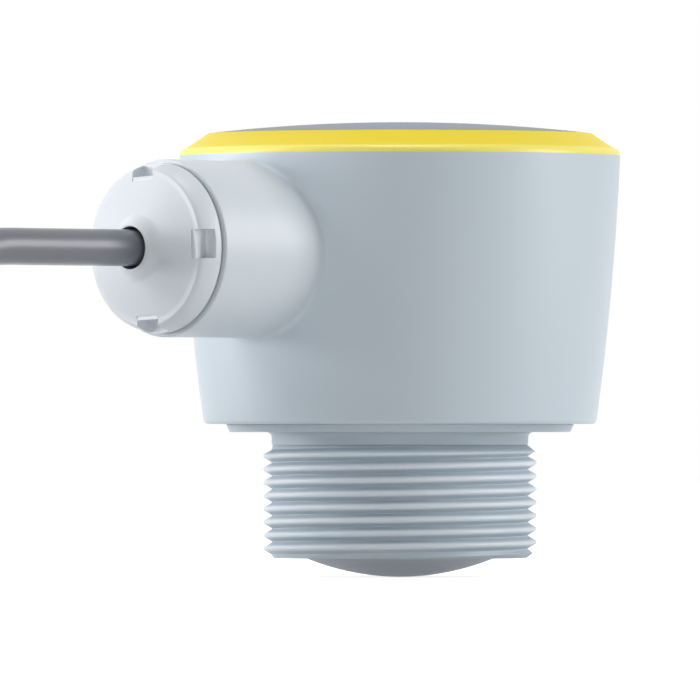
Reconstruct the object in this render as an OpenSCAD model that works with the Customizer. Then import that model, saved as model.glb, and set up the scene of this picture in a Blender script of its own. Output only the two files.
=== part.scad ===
// Compact radar level transmitter.
//
// A barrel shaped plastic housing stands on an antenna fitting: flange, G 1 1/2 process
// thread and lens, moulded in one. A side boss holds the cable gland and a fixed
// connection cable, the top is closed by a domed lid inside a coloured marker ring.
//
// Origin: on the device axis, at the flange's sealing face. +Z points up, away from the
// tank, and the cable leaves along -X. All sizes are millimetres.

/* [Housing] */
// Outer radius of the housing at its top edge
body_top_r = 38.5; // [36:0.5:44]
// Outer radius of the housing at its foot
body_foot_r = 34.3; // [33.5:0.1:36]
// Height of the housing above the flange
body_h = 46.9; // [44:0.5:60]
// How far the housing's side bulges beyond a straight line
body_bulge = 0.55; // [0.3:0.05:1.5]
// Wall thickness of the housing
body_wall = 3; // [2.5:0.1:4]
// Thickness of the housing's floor
floor_t = 4; // [3:0.5:5]
// Edge radius at the housing's foot
foot_edge_r = 0.9; // [0.4:0.1:1.5]

/* [Cable boss] */
// Outer radius of the boss
boss_r = 15.2; // [14.8:0.1:16]
// Distance from the device axis to the boss's end face
boss_reach = 57.5; // [55:0.5:64]
// Distance from the housing's top edge down to the boss's axis
boss_drop = 16.7; // [16.6:0.1:20]
// Radius of the fillet between boss and housing
boss_fillet_r = 1.3; // [0.8:0.1:2]
// Edge radius at the boss's end
boss_edge_r = 0.6; // [0.3:0.1:1]

/* [Gland cap] */
// Outer radius of the cap
cap_r = 14.55; // [14:0.05:14.9]
// Length of the cap's cylindrical rim
cap_rim_h = 3.9; // [3.5:0.1:6]
// Height of the cap's nose above its rim
cap_nose_h = 3.95; // [3.2:0.05:5]
// Gap between the tightened cap and the boss
cap_gap = 0.4; // [0.2:0.1:0.8]
// Edge radius around the cap's rim
cap_edge_r = 0.5; // [0.3:0.1:0.8]
// Width of a spanner notch
notch_w = 5; // [3:0.25:6]
// Radius of the notches' floor
notch_floor_r = 12.3; // [11.5:0.1:13]
// Depth of a notch, measured from the rim's front edge
notch_h = 2; // [1.5:0.1:3]
// Number of spanner notches
notches = 4; // [3:1:6]
// Radius of the cap's threaded spigot
spigot_r = 11.9; // [11:0.1:12]
// Length of the cap's threaded spigot
spigot_h = 9.2; // [8:0.2:10]
// Radial clearance of the spigot in the boss
spigot_play = 0.08; // [0.05:0.01:0.1]

/* [Cable] */
// Diameter of the cable
cable_d = 6.3; // [5.5:0.1:6.8]
// Radial gap between the cable and the cap's hole
cable_gap = 0.7; // [0.5:0.1:1]
// Diameter of one insulated core
core_d = 1.8; // [1.4:0.1:2.2]
// Radius of the coil at the middle of its turns
coil_r = 43; // [40:0.5:50]
// Turns side by side in the coil
coil_columns = 3; // [3:1:4]
// Layers of turns in the coil
coil_layers = 6; // [4:1:6]

/* [Marker ring and lid] */
// Height of the marker ring
ring_h = 3.4; // [3:0.1:5]
// Height of the ring's lower band
ring_band_h = 0.9; // [0.6:0.1:1.5]
// How far the ring's band leans in over its height
ring_band_in = 1; // [0.6:0.1:1.5]
// Width of the ring, from the housing's edge in to the lid
ring_w = 5.1; // [4.5:0.1:6]
// Rise of the lid's dome above the ring
lid_rise = 2.4; // [1:0.1:4]
// Clearance between the lid and the ring
lid_play = 0.12; // [0.08:0.01:0.3]

/* [Process fitting] */
// Radius of the flange at its top
flange_r = 30.4; // [29:0.1:32]
// How far the flange's edge tapers in
flange_taper = 0.6; // [0:0.1:1]
// Thickness of the flange
flange_t = 1.4; // [1.2:0.1:4]
// Major diameter of the process thread
thread_d = 47.803; // [44.323:0.001:53.746]
// Pitch of the process thread
thread_pitch = 2.309; // [1.814:0.001:2.309]
// Length of the plain neck between flange and thread
neck_h = 2.4; // [1.5:0.1:4]
// Length of the threaded part
thread_h = 19.6; // [16:0.1:24]
// Radius of the lens where it leaves the fitting's end face
lens_r = 16.6; // [14:0.1:18]
// How far the lens stands out
lens_rise = 3.3; // [2:0.1:5]

/* [Hidden] */

$fn = 96;
// Sides of the circles that carry a long shallow curve
fine = 720;
// Steps of a small arc in a turned outline
arc_steps = 8;
// Overshoot of a cutter past the face it cuts
over = 1;
// Air gap of a fixed piece in its seat
seat_gap = 0.05;

grey = [0.74, 0.78, 0.81];
fitting_grey = [0.55, 0.60, 0.65];
yellow = [0.95, 0.83, 0.25];
cable_grey = [0.45, 0.45, 0.48];
rubber = [0.12, 0.12, 0.13];
board_green = [0.10, 0.35, 0.22];

// ---- Housing, worked out from its driving sizes ----
foot_z = flange_t;
top_z = foot_z + body_h;
boss_z = top_z - boss_drop;
floor_top = foot_z + floor_t;

// The housing's side is one shallow arc from the foot to the top edge
side_lean = atan2(body_top_r - body_foot_r, body_h);
side_chord = norm([body_top_r - body_foot_r, body_h]);
side_arc_r = side_chord * side_chord / (8 * body_bulge) + body_bulge / 2;
side_c = [
    (body_top_r + body_foot_r) / 2 - (side_arc_r - body_bulge) * cos(side_lean),
    (foot_z + top_z) / 2 + (side_arc_r - body_bulge) * sin(side_lean)
];

// Radius of the housing's side at height z, for a skin that lies off outside it
function side_r(z, off = 0) = side_c[0] + sqrt(pow(side_arc_r + off, 2) - pow(z - side_c[1], 2));

// Mouth that takes the lid: its edge rests on a ledge of the marker ring
ring_bore_r = body_top_r - ring_w;
ring_ledge_w = 1.1;
mouth_r = ring_bore_r - ring_ledge_w;
mouth_h = 4;
shelf_z = top_z - mouth_h;

// ---- Gland, along the boss: distances are measured from the device axis ----
cable_r = cable_d / 2;
hole_r = cable_r + cable_gap;
slip_t = 1.4;
cap_back = boss_reach + cap_gap;
cap_front = cap_back + cap_rim_h;
cap_nose = cap_front + cap_nose_h;
spigot_end = cap_back - spigot_h;
slip_end = spigot_end - slip_t;
thread_bore_r = spigot_r + spigot_play;
// Turn of the tightened cap: its first notch then stands a little off the top
cap_turn = 2.7;
seal_r = 8.5;
seal_floor = side_r(boss_z);
slip_play = 0.4;
wall_hole_gap = 0.45;

// ---- Marker ring and lid ----
ring_top = top_z + ring_h;
ring_lip_h = 1.2;
lid_r = ring_bore_r - lid_play;
lid_sphere_r = (lid_r * lid_r + lid_rise * lid_rise) / (2 * lid_rise);
skirt_r = mouth_r - 0.1;
skirt_t = 3.2;
// Bead that snaps under the shelf below the mouth
bead_w = 0.5;
bead_h = 0.8;
bead_play = 0.1;
skirt_low = shelf_z - bead_play - bead_h;
lid_seal_d = 1.3;
lid_groove_z = top_z - 2;

// ---- Antenna fitting ----
thread_r = thread_d / 2;
// Depth of a 55 degree pipe thread, as a share of its pitch
thread_depth = 0.640327 * thread_pitch;
root_r = thread_r - thread_depth;
// Spigot that goes up through the housing's floor, leaving a ledge of the floor round it
foot_ledge_w = 10.3;
spigot_up_r = body_foot_r - foot_ledge_w;
spigot_up_h = 4;
spigot_up_z = floor_top + spigot_up_h;
fitting_wall = 3.92;
fitting_bore_r = root_r - fitting_wall;
ledge_z = -6;
ledge_w = 2.5;
ledge_bore_r = fitting_bore_r - ledge_w;
neck_low = -neck_h;
neck_fillet_r = 1;
end_z = neck_low - thread_h;
// Share of a pitch that turns the thread's start to its place
thread_start = 0.836;
lens_t = 5;
lens_in_z = end_z + lens_t;
lens_sphere_r = (lens_r * lens_r + lens_rise * lens_rise) / (2 * lens_rise);
floor_z = end_z - lens_rise;
fitting_seal_d = 1.25;
fitting_groove_z = foot_z + floor_t / 2 + 0.1;
groove_w = 1.8;

// ---- Electronics ----
board_t = 1.6;
board_rise = 7.6;
board_z = spigot_up_z + board_rise;
carrier_play = 0.7;
carrier_r = side_r(floor_top) - body_wall - carrier_play;
carrier_t = 1.8;
board_edge = 0.6;
board_r = carrier_r - board_edge;
board_top = board_z + board_t;
post_r = 2.6;
post_gap = 0.6;
post_in = 2.2;
post_at = carrier_r - carrier_t - post_in;
lock_play = 0.4;
lock_r = carrier_r - carrier_t - lock_play;
lock_slot_w = 4;
lock_slot_d = 1.5;
radar_board_t = 1.2;
screw_r = 1.1;
screw_h = 6;
screw_head_r = 2.1;
core_gap = 3.5;

// ---- Coil of spare cable ----
coil_pitch = cable_d + 0.05;
tie_t = 1.2;
tie_gap = 0.15;
tie_w = 5;
// The ties keep clear of the two ends that leave the coil
tie_angles = [20, 200];
coil_half_w = coil_pitch * (coil_columns - 1) / 2 + cable_r;
coil_h = coil_pitch * (coil_layers - 1) + cable_d;
coil_low = floor_z + tie_t + tie_gap;
coil_at = [-138, coil_r + coil_pitch * (coil_columns - 1) / 2];

// Route of the cable's middle line, from its end inside the housing to the coil's top turn
cable_route = [
    [-33.5, 0, 31.6], [-50, 0, 31.6], [-65, 0, 31.6], [-80, 0, 31.6], [-88, 0, 31.6],
    [-95, 0, 31.6], [-98.5, 0, 31.4], [-102, 0, 30.7], [-105.4, 0, 29.5], [-108.5, 0, 28],
    [-111.4, 0, 26.1], [-114.1, 0, 23.7], [-116.2, 0, 21.3], [-118.4, 0, 18.9], [-121.1, 0, 16.5],
    [-124, 0, 14.6], [-127.2, 0, 13], [-130.5, 0, 11.9], [-134, 0, 11.2], [-138, 0, 11]
];
// The coil's last turn runs out along the floor
tail_route = [
    [-138, 98.7, -20.8], [-130, 98.7, -21], [-122, 98.7, -21.7], [-114, 98.7, -22.1], [-106, 98.7, -22.1]
];
brown_route = [[-33.5, 1.1, 31.6], [-31, 1.1, 31.6], [-28.6, 1.8, 30.6], [-26.6, 2.8, 28.4],
    [-24.8, 3.4, 26.2], [-22.8, 3.5, 25.2], [-20, 3.5, 25]];
blue_route = [[-33.5, -1.1, 31.6], [-31, -1.1, 31.6], [-28.6, -1.8, 30.6], [-26.6, -2.8, 28.4],
    [-24.8, -3.4, 26.2], [-22.8, -3.5, 25.2], [-20, -3.5, 25]];
brown_tail = [[-106, 99.8, -22.1], [-103, 99.8, -22.3], [-99, 100, -23.2], [-95, 100.3, -23.9],
    [-91, 100.4, -24.1], [-86, 100.4, -24.1]];
blue_tail = [[-106, 97.6, -22.1], [-103, 97.5, -22.3], [-99, 96.9, -23.2], [-95, 96.1, -23.9],
    [-91, 95.8, -24.1], [-86, 95.8, -24.1]];

// ---- Helpers ----

// Points of an arc about c, from angle a0 to a1
function arc(c, r, a0, a1, n = arc_steps) =
    [for (i = [0:n]) let (a = a0 + (a1 - a0) * i / n) c + r * [cos(a), sin(a)]];

function unit(v) = v / norm(v);

// Direction of a route at its point i
function heading(p, i) = unit(p[min(i + 1, len(p) - 1)] - p[max(i - 1, 0)]);

// A round bar swept along the points of a route that lies roughly level
module sweep(route, r, sides) {
    n = len(route);
    rings = [
        for (i = [0:n - 1])
            let (d = heading(route, i), u = unit(cross([0, 0, 1], d)), v = cross(d, u))
            for (k = [0:sides - 1])
                route[i] + r * (u * cos(360 * k / sides) + v * sin(360 * k / sides))
    ];
    walls = [
        for (i = [0:n - 2], k = [0:sides - 1])
            let (a = i * sides + k, b = i * sides + (k + 1) % sides)
            each [[a, a + sides, b + sides], [a, b + sides, b]]
    ];
    ends = [
        [for (k = [0:sides - 1]) k],
        [for (k = [sides - 1:-1:0]) (n - 1) * sides + k]
    ];
    polyhedron(points = rings, faces = concat(walls, ends), convexity = 4);
}

// Stands its children on the boss's axis, with their +Z pointing out along the cable
module along_boss() {
    translate([0, 0, boss_z])
        rotate([0, -90, 0])
            children();
}

// A plain cylinder from z0 to z1
module bar(r, z0, z1) {
    translate([0, 0, z0])
        cylinder(r = r, h = z1 - z0);
}

// A plain pipe from z0 to z1
module pipe(r_out, r_in, z0, z1) {
    difference() {
        bar(r_out, z0, z1);
        bar(r_in, z0 - over, z1 + over);
    }
}

// A ring seal of round section
module ring_seal(r, d, z) {
    rotate_extrude()
        translate([r, z])
            circle(d = d, $fn = 32);
}

// ---- Housing ----

// Half outline of the barrel: a flat foot and top, a bulged side and a rounded foot edge
module barrel_outline() {
    e = foot_edge_r;
    c_z = foot_z + e;
    c_r = side_c[0] + sqrt(pow(side_arc_r - e, 2) - pow(c_z - side_c[1], 2));
    out = unit([c_r, c_z] - side_c);
    difference() {
        intersection() {
            translate(side_c)
                circle(r = side_arc_r, $fn = fine);
            translate([0, foot_z])
                square([body_top_r + over, body_h]);
        }
        difference() {
            polygon([
                [c_r, c_z], [c_r, foot_z - over], [c_r + e + over, foot_z - over],
                [c_r, c_z] + (e + over) * out
            ]);
            translate([c_r, c_z])
                circle(r = e, $fn = 64);
        }
    }
}

// Outline of the boss, with the edge at its end rounded
module boss_outline() {
    e = boss_edge_r;
    difference() {
        square([boss_r, boss_reach]);
        translate([boss_r - e, boss_reach - e])
            difference() {
                square(e + over);
                circle(r = e, $fn = 64);
            }
    }
}

// One section of the fillet at angle a round the boss: the arc of a ball that rolls in the
// corner, closed by a point inside the wall
function fillet_section(a, steps) =
    let (
        f = boss_fillet_r,
        y = (boss_r + f) * cos(a),
        z = boss_z + (boss_r + f) * sin(a),
        reach = side_r(z, f),
        x = -sqrt(reach * reach - y * y),
        ball = [x, y, z],
        to_boss = [0, -cos(a), -sin(a)],
        side_out = (reach - side_c[0]) / (side_arc_r + f),
        to_side = -[side_out * x / reach, side_out * y / reach, (z - side_c[1]) / (side_arc_r + f)],
        turn = acos(to_boss * to_side),
        sunk = f + 0.012
    )
    concat(
        [for (i = [0:steps]) let (t = i / steps)
            ball + sunk * (sin((1 - t) * turn) * to_boss + sin(t * turn) * to_side) / sin(turn)],
        [ball + (f / cos(turn / 2) + 0.6) * unit(to_boss + to_side)]
    );

// The fillet where the boss leaves the barrel
module boss_fillet() {
    around = 72;
    steps = 6;
    m = steps + 2;
    points = [for (i = [0:around - 1]) each fillet_section(360 * i / around, steps)];
    faces = [
        for (i = [0:around - 1], k = [0:m - 1])
            let (a = i * m + k, b = i * m + (k + 1) % m,
                c = (i + 1) % around * m + k, d = (i + 1) % around * m + (k + 1) % m)
            each [[a, d, b], [a, c, d]]
    ];
    polyhedron(points = points, faces = faces, convexity = 6);
}

module housing() {
    in_foot_r = side_r(floor_top) - body_wall;
    in_top_r = side_r(shelf_z) - body_wall;
    color(grey)
        difference() {
            union() {
                rotate_extrude()
                    barrel_outline();
                along_boss()
                    rotate_extrude()
                        boss_outline();
                boss_fillet();
            }
            // room for the electronics
            translate([0, 0, floor_top])
                cylinder(r1 = in_foot_r, r2 = in_top_r, h = shelf_z - floor_top);
            // mouth for the lid and bore for the antenna fitting
            bar(mouth_r, shelf_z - over, top_z + over);
            bar(spigot_up_r + seat_gap, foot_z - over, floor_top + over);
            along_boss() {
                bar(cable_r + wall_hole_gap, seal_floor - body_wall - 2, seal_floor + over);
                bar(seal_r, seal_floor, slip_end + over);
                bar(thread_bore_r, slip_end, boss_reach + over);
            }
        }
}

// ---- Lid and marker ring ----

module marker_ring() {
    // the band is a quarter of an ellipse that leans in from the housing's edge
    band = [for (a = [0:15:90])
        [body_top_r - ring_band_in * (1 - cos(a)), top_z + ring_band_h * sin(a)]];
    color(yellow)
        rotate_extrude()
            polygon(concat(
                [[mouth_r, top_z]],
                band,
                [[ring_bore_r, ring_top], [ring_bore_r, top_z + ring_lip_h]],
                [[mouth_r, top_z + ring_lip_h]]
            ));
}

module lid() {
    lip_top = top_z + ring_lip_h;
    color(fitting_grey)
        difference() {
            union() {
                bar(lid_r, lip_top, ring_top);
                // dome: the part of a big ball above the plate
                intersection() {
                    translate([0, 0, ring_top + lid_rise - lid_sphere_r])
                        sphere(r = lid_sphere_r, $fn = fine);
                    bar(lid_r, ring_top, ring_top + lid_rise + over);
                }
                pipe(skirt_r, skirt_r - skirt_t, skirt_low, lip_top);
                bar(skirt_r + bead_w, skirt_low, skirt_low + bead_h);
            }
            bar(skirt_r - skirt_t, skirt_low - over, lip_top);
            // groove for the ring seal
            pipe(skirt_r + over, skirt_r - lid_seal_d, lid_groove_z - groove_w / 2,
                lid_groove_z + groove_w / 2);
        }
}

module lid_seal() {
    color(rubber)
        ring_seal(mouth_r - seat_gap - lid_seal_d / 2, lid_seal_d, lid_groove_z);
}

// ---- Cable gland ----

// Half outline of the cap, from its spigot out to the nose
module cap_outline() {
    // shoulder that rounds from the rim into the face
    shoulder_r = 4.48;
    shoulder_in = 4.05;
    shoulder_a = acos(shoulder_in / shoulder_r);
    shoulder_x = cap_r - cap_edge_r - shoulder_in;
    face_z = cap_front + shoulder_r * (1 - sin(shoulder_a));
    // flat of the face before the nose rises in two equal arcs
    flat = 0.5;
    lip_r = 0.5;
    nose_r = hole_r + lip_r + 0.35;
    rise = cap_nose - face_z;
    flank = (shoulder_x - flat - nose_r) / 2;
    flare_r = (flank * flank + rise * rise / 4) / rise;
    flare_a = asin(flank / flare_r);
    lead = 0.5;
    polygon(concat(
        [[hole_r, spigot_end], [spigot_r - lead, spigot_end], [spigot_r, spigot_end + lead]],
        [[spigot_r, cap_back], [cap_r, cap_back]],
        arc([cap_r - cap_edge_r, cap_front - cap_edge_r], cap_edge_r, 0, 60, 4),
        arc([shoulder_x, face_z - shoulder_r], shoulder_r, shoulder_a, 90),
        arc([shoulder_x - flat, face_z + flare_r], flare_r, -90, -90 - flare_a),
        arc([nose_r, cap_nose - flare_r], flare_r, 90 - flare_a, 90),
        arc([hole_r + lip_r, cap_nose - lip_r], lip_r, 90, 180, 5)
    ));
}

module gland_cap() {
    color(grey)
        along_boss()
            difference() {
                rotate_extrude()
                    cap_outline();
                for (i = [0:notches - 1])
                    rotate([0, 0, cap_turn + 360 * i / notches])
                        translate([notch_floor_r, -notch_w / 2, cap_front - notch_h])
                            cube([cap_r, notch_w, cap_nose_h + notch_h]);
            }
}

module slip_ring() {
    color([0.85, 0.85, 0.82])
        along_boss()
            pipe(spigot_r - slip_play, hole_r - 0.2, slip_end, spigot_end);
}

module cable_seal() {
    color(rubber)
        along_boss()
            pipe(seal_r - seat_gap, cable_r + seat_gap, seal_floor + seat_gap, slip_end);
}

// ---- Antenna fitting: flange, thread and lens in one ----

// One pitch of the thread's profile: [share of the pitch, share of the thread's depth]
thread_profile = [[0.09, 0], [0.42, 1], [0.58, 1], [0.91, 0]];

// A rod with a right hand thread from z0 up to z1 at least, left rough at both ends.
// Its surface is one strip, a pitch high, that winds round the rod and meets itself.
module threaded_rod(z0, z1) {
    around = 48;
    m = len(thread_profile);
    turns = ceil((z1 - z0) / thread_pitch) + 3;
    last = turns * around;
    strip = [
        for (i = [0:last], k = [0:m - 1])
            let (
                a = 360 * i / around,
                share = thread_profile[k],
                r = root_r + thread_depth * share[1],
                z = z0 + thread_pitch * (i / around + share[0] - 2 + thread_start)
            )
            [r * cos(a), r * sin(a), z]
    ];
    low_mid = len(strip);
    flanks = [
        for (i = [0:last - 1], k = [0:m - 2])
            let (a = i * m + k, b = a + 1, c = a + m, d = c + 1)
            each [[a, b, d], [a, d, c]]
    ];
    roots = [
        for (i = [0:last - around - 1])
            let (a = i * m + m - 1, b = (i + around) * m, c = a + m, d = b + m)
            each [[a, b, d], [a, d, c]]
    ];
    low_edge = concat(
        [for (i = [0:around]) i * m],
        [for (k = [m - 1:-1:1]) k]
    );
    high_edge = concat(
        [for (i = [last - around:last]) i * m + m - 1],
        [for (k = [m - 2:-1:0]) last * m + k]
    );
    low_fan = [for (j = [0:len(low_edge) - 1])
        [low_edge[j], low_edge[(j + 1) % len(low_edge)], low_mid]];
    high_fan = [for (j = [0:len(high_edge) - 1])
        [high_edge[(j + 1) % len(high_edge)], high_edge[j], low_mid + 1]];
    mids = [[0, 0, z0 - thread_pitch * 2.5], [0, 0, z0 + thread_pitch * (turns + 1)]];
    polyhedron(
        points = concat(strip, mids),
        faces = concat(flanks, roots, low_fan, high_fan),
        convexity = 20
    );
}

// What the thread is trimmed to: a run-out below the neck and a chamfer at the free end
module thread_envelope() {
    clear = 0.1;
    slope_h = 1.4;
    sunk = 0.4;
    rotate_extrude()
        polygon([
            [0, neck_low + sunk], [root_r - sunk, neck_low + sunk], [root_r, neck_low],
            [thread_r + clear, neck_low - slope_h], [thread_r + clear, end_z + slope_h],
            [root_r - sunk / 2, end_z], [0, end_z]
        ]);
}

module antenna_fitting() {
    color(fitting_grey)
        difference() {
            union() {
                cylinder(r1 = flange_r - flange_taper, r2 = flange_r, h = flange_t);
                bar(root_r, neck_low, flange_t / 2);
                // fillet between neck and flange
                rotate_extrude()
                    difference() {
                        translate([root_r - neck_fillet_r / 2, -neck_fillet_r])
                            square([neck_fillet_r * 1.5, neck_fillet_r + flange_t / 2]);
                        translate([root_r + neck_fillet_r, -neck_fillet_r])
                            circle(r = neck_fillet_r, $fn = 64);
                    }
                intersection() {
                    threaded_rod(end_z, neck_low);
                    thread_envelope();
                }
                intersection() {
                    translate([0, 0, floor_z + lens_sphere_r])
                        sphere(r = lens_sphere_r, $fn = fine);
                    bar(lens_r, floor_z - over, end_z + over);
                }
                bar(spigot_up_r, flange_t / 2, spigot_up_z);
            }
            // waveguide room above the lens, and the ledge of the radar board
            bar(ledge_bore_r, lens_in_z, ledge_z + over);
            bar(fitting_bore_r, ledge_z, spigot_up_z + over);
            // groove for the ring seal
            pipe(spigot_up_r + over, spigot_up_r - fitting_seal_d, fitting_groove_z - groove_w / 2,
                fitting_groove_z + groove_w / 2);
        }
}

module fitting_seal() {
    color(rubber)
        ring_seal(spigot_up_r - fitting_seal_d / 2, fitting_seal_d - 2 * seat_gap, fitting_groove_z);
}

// Ring nut that clamps the housing's floor to the fitting
module lock_ring() {
    color([0.30, 0.31, 0.33])
        difference() {
            pipe(lock_r, spigot_up_r + seat_gap, floor_top, spigot_up_z);
            for (i = [0:5])
                rotate([0, 0, 60 * i])
                    translate([lock_r - lock_slot_d, -lock_slot_w / 2, floor_top - over])
                        cube([lock_slot_d + over, lock_slot_w, spigot_up_h + 2 * over]);
        }
}

// ---- Electronics ----

post_angles = [45, 135, 225, 315];

// Frame that stands on the housing's floor and carries the main board, with a window on
// each side
module board_carrier() {
    window_w = 12;
    window_h = 6;
    sill_h = 2.5;
    // the board rests on the posts alone
    rim_drop = 1;
    color([0.20, 0.21, 0.23])
        difference() {
            union() {
                pipe(carrier_r, carrier_r - carrier_t, floor_top, board_z - rim_drop);
                for (a = post_angles)
                    rotate([0, 0, a])
                        translate([post_at, 0, 0])
                            bar(post_r, spigot_up_z + post_gap, board_z);
            }
            for (a = post_angles)
                rotate([0, 0, a])
                    translate([post_at, 0, 0])
                        bar(screw_r, board_z - screw_h, board_z + over);
            for (a = [0, 90, 180, 270])
                rotate([0, 0, a])
                    translate([carrier_r - carrier_t - over, -window_w / 2, floor_top + sill_h])
                        cube([carrier_t + 2 * over, window_w, window_h]);
        }
}

module main_board() {
    color(board_green)
        difference() {
            bar(board_r, board_z, board_top);
            for (a = post_angles)
                rotate([0, 0, a])
                    translate([post_at, 0, 0])
                        bar(screw_r + 0.3, board_z - over, board_top + over);
        }
}

module board_screws() {
    head_h = 1.5;
    slot_w = 0.5;
    slot_l = 2.2;
    color([0.75, 0.75, 0.77])
        for (a = post_angles)
            rotate([0, 0, a])
                translate([post_at, 0, 0])
                    difference() {
                        union() {
                            bar(screw_r - seat_gap, board_z - screw_h + 0.5, board_top + 0.5);
                            bar(screw_head_r, board_top, board_top + head_h);
                        }
                        // cross recess
                        for (q = [0, 90])
                            rotate([0, 0, q])
                                translate([-slot_l / 2, -slot_w / 2, board_top + head_h / 2])
                                    cube([slot_l, slot_w, head_h]);
                    }
}

// A square chip of side w and height h, with a pin row on each side
module chip(w, h) {
    translate([-w / 2, -w / 2, 0.2])
        cube([w, w, h - 0.2]);
    for (q = [0:3], i = [-3:3])
        rotate([0, 0, 90 * q])
            translate([w / 2 - 0.2, i * w / 8 - 0.2, 0])
                cube([0.9, 0.4, 0.6]);
}

module processor() {
    color([0.10, 0.10, 0.11])
        translate([8, -9, board_top])
            chip(10, 1.4);
}

module capacitors() {
    can_r = 4;
    can_h = 10;
    can_x = 11;
    bead_r = 0.6;
    bead_z = 1.6;
    color([0.25, 0.30, 0.42])
        for (y = [6, 15])
            translate([can_x, y, board_top])
                difference() {
                    bar(can_r, 0, can_h);
                    // rolled bead near the foot
                    rotate_extrude()
                        translate([can_r + bead_r / 2, bead_z])
                            circle(r = bead_r, $fn = 24);
                }
}

// Drum core with its winding
module power_coil() {
    drum_r = 4.5;
    drum_h = 5;
    rim_h = 0.8;
    place = [-4, 16];
    color([0.35, 0.25, 0.20])
        translate([place[0], place[1], board_top]) {
            bar(drum_r, 0, rim_h);
            bar(drum_r - 0.5, rim_h - 0.1, drum_h - rim_h + 0.1);
            bar(drum_r, drum_h - rim_h, drum_h);
        }
}

module terminal_block() {
    block = [9, 15, 10.5];
    edge = 8.4;
    block_x = edge - board_r;
    core_end = brown_route[len(brown_route) - 1];
    entry_gap = 0.2;
    well_depth = 2;
    color([0.20, 0.45, 0.30])
        difference() {
            translate([block_x, -block[1] / 2, board_top])
                cube(block);
            for (y = [-core_gap, core_gap]) {
                // wire entry
                translate([0, y, core_end[2]])
                    rotate([0, 90, 0])
                        bar(core_d / 2 + entry_gap, block_x - over, core_end[0] + entry_gap);
                // well over the clamp screw
                translate([block_x + 5, y, board_top + block[2]])
                    bar(1.8, -well_depth, over);
            }
        }
}

module radar_board() {
    color(board_green)
        bar(fitting_bore_r - 0.2, ledge_z, ledge_z + radar_board_t);
}

module radar_chip() {
    w = 4.4;
    h = 0.9;
    color([0.10, 0.10, 0.11])
        translate([-w / 2, -w / 2, ledge_z - h])
            cube([w, w, h]);
}

// Horn that carries the signal from the chip towards the lens
module feed_horn() {
    color([0.80, 0.68, 0.40])
        translate([0, 0, ledge_z])
            rotate_extrude()
                polygon([
                    [3.2, 0], [7, 0], [7, -1.2], [4.5, -1.2], [7.6, -6], [6.8, -6],
                    [2, -1.4], [2, -1], [3.2, -1]
                ]);
}

module shield_can() {
    z = ledge_z + radar_board_t;
    wall = 0.4;
    w = 18;
    h = 3;
    color([0.78, 0.79, 0.80])
        translate([0, 0, z])
            difference() {
                translate([-w / 2, -w / 2, 0])
                    cube([w, w, h]);
                translate([-w / 2 + wall, -w / 2 + wall, -over])
                    cube([w - 2 * wall, w - 2 * wall, h - wall + over]);
                // cooling holes
                for (x = [-4, 0, 4], y = [-4, 0, 4])
                    translate([x, y, 0])
                        bar(0.7, 0, h + over);
            }
}

module clamp_ring() {
    z = ledge_z + radar_board_t;
    color([0.30, 0.31, 0.33])
        pipe(fitting_bore_r - seat_gap, ledge_bore_r, z, z + 2);
}

// Flat cable between the two boards
module flex_link() {
    low = ledge_z + radar_board_t;
    t = 0.3;
    w = 8;
    end_l = 3;
    wall_gap = 3.5;
    end_y = fitting_bore_r - wall_gap - end_l;
    color([0.80, 0.45, 0.10])
        translate([-w / 2, end_y, 0]) {
            translate([0, 0, low])
                cube([w, end_l, t]);
            translate([0, end_l - t, low])
                cube([w, t, board_z - low]);
            translate([0, 0, board_z - t])
                cube([w, end_l, t]);
        }
}

module core_brown() {
    color([0.42, 0.24, 0.12])
        sweep(brown_route, core_d / 2, 8);
}

module core_blue() {
    color([0.15, 0.30, 0.62])
        sweep(blue_route, core_d / 2, 8);
}

// ---- Cable ----

module cable() {
    color(cable_grey)
        sweep(cable_route, cable_r, 10);
}

// Outer shape of the coil's bundle, grown by a margin
module bundle_outline(grow = 0) {
    e = cable_r + grow;
    w = 2 * (coil_half_w + grow);
    h = coil_h + 2 * grow;
    translate([coil_r - w / 2, coil_low - grow])
        difference() {
            square([w, h]);
            for (x = [0, 1], y = [0, 1])
                translate([x * w, y * h])
                    mirror([x, 0])
                        mirror([0, y])
                            translate([e, e])
                                rotate(180)
                                    difference() {
                                        square(e + over);
                                        circle(r = e, $fn = 48);
                                    }
        }
}

module cable_coil() {
    color(cable_grey)
        translate(coil_at)
            rotate_extrude()
                bundle_outline();
}

module coil_ties() {
    color(rubber)
        for (a = tie_angles)
            translate(coil_at)
                rotate([90, 0, a])
                    translate([0, 0, -tie_w / 2])
                        linear_extrude(tie_w)
                            difference() {
                                bundle_outline(tie_gap + tie_t);
                                bundle_outline(tie_gap);
                            }
}

module cable_tail() {
    color(cable_grey)
        sweep(tail_route, cable_r, 10);
}

module end_core_brown() {
    color([0.42, 0.24, 0.12])
        sweep(brown_tail, core_d / 2, 8);
}

module end_core_blue() {
    color([0.15, 0.30, 0.62])
        sweep(blue_tail, core_d / 2, 8);
}

// Crimped sleeves on the bare ends, each with a collar over the insulation
module ferrules() {
    collar_h = 2.6;
    collar_t = 0.25;
    sleeve_r = 0.7;
    sleeve_h = 9;
    for (route = [brown_tail, blue_tail])
        translate(route[len(route) - 1])
            rotate([0, 90, 0]) {
                color([0.80, 0.20, 0.15])
                    bar(core_d / 2 + collar_t, 0, collar_h);
                color([0.80, 0.80, 0.82])
                    bar(sleeve_r, collar_h - 0.6, sleeve_h);
            }
}

antenna_fitting();
fitting_seal();
lock_ring();
housing();
marker_ring();
lid();
lid_seal();
gland_cap();
slip_ring();
cable_seal();
board_carrier();
main_board();
board_screws();
processor();
capacitors();
power_coil();
terminal_block();
radar_board();
radar_chip();
feed_horn();
shield_can();
clamp_ring();
flex_link();
core_brown();
core_blue();
cable();
cable_coil();
coil_ties();
cable_tail();
end_core_brown();
end_core_blue();
ferrules();
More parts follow.
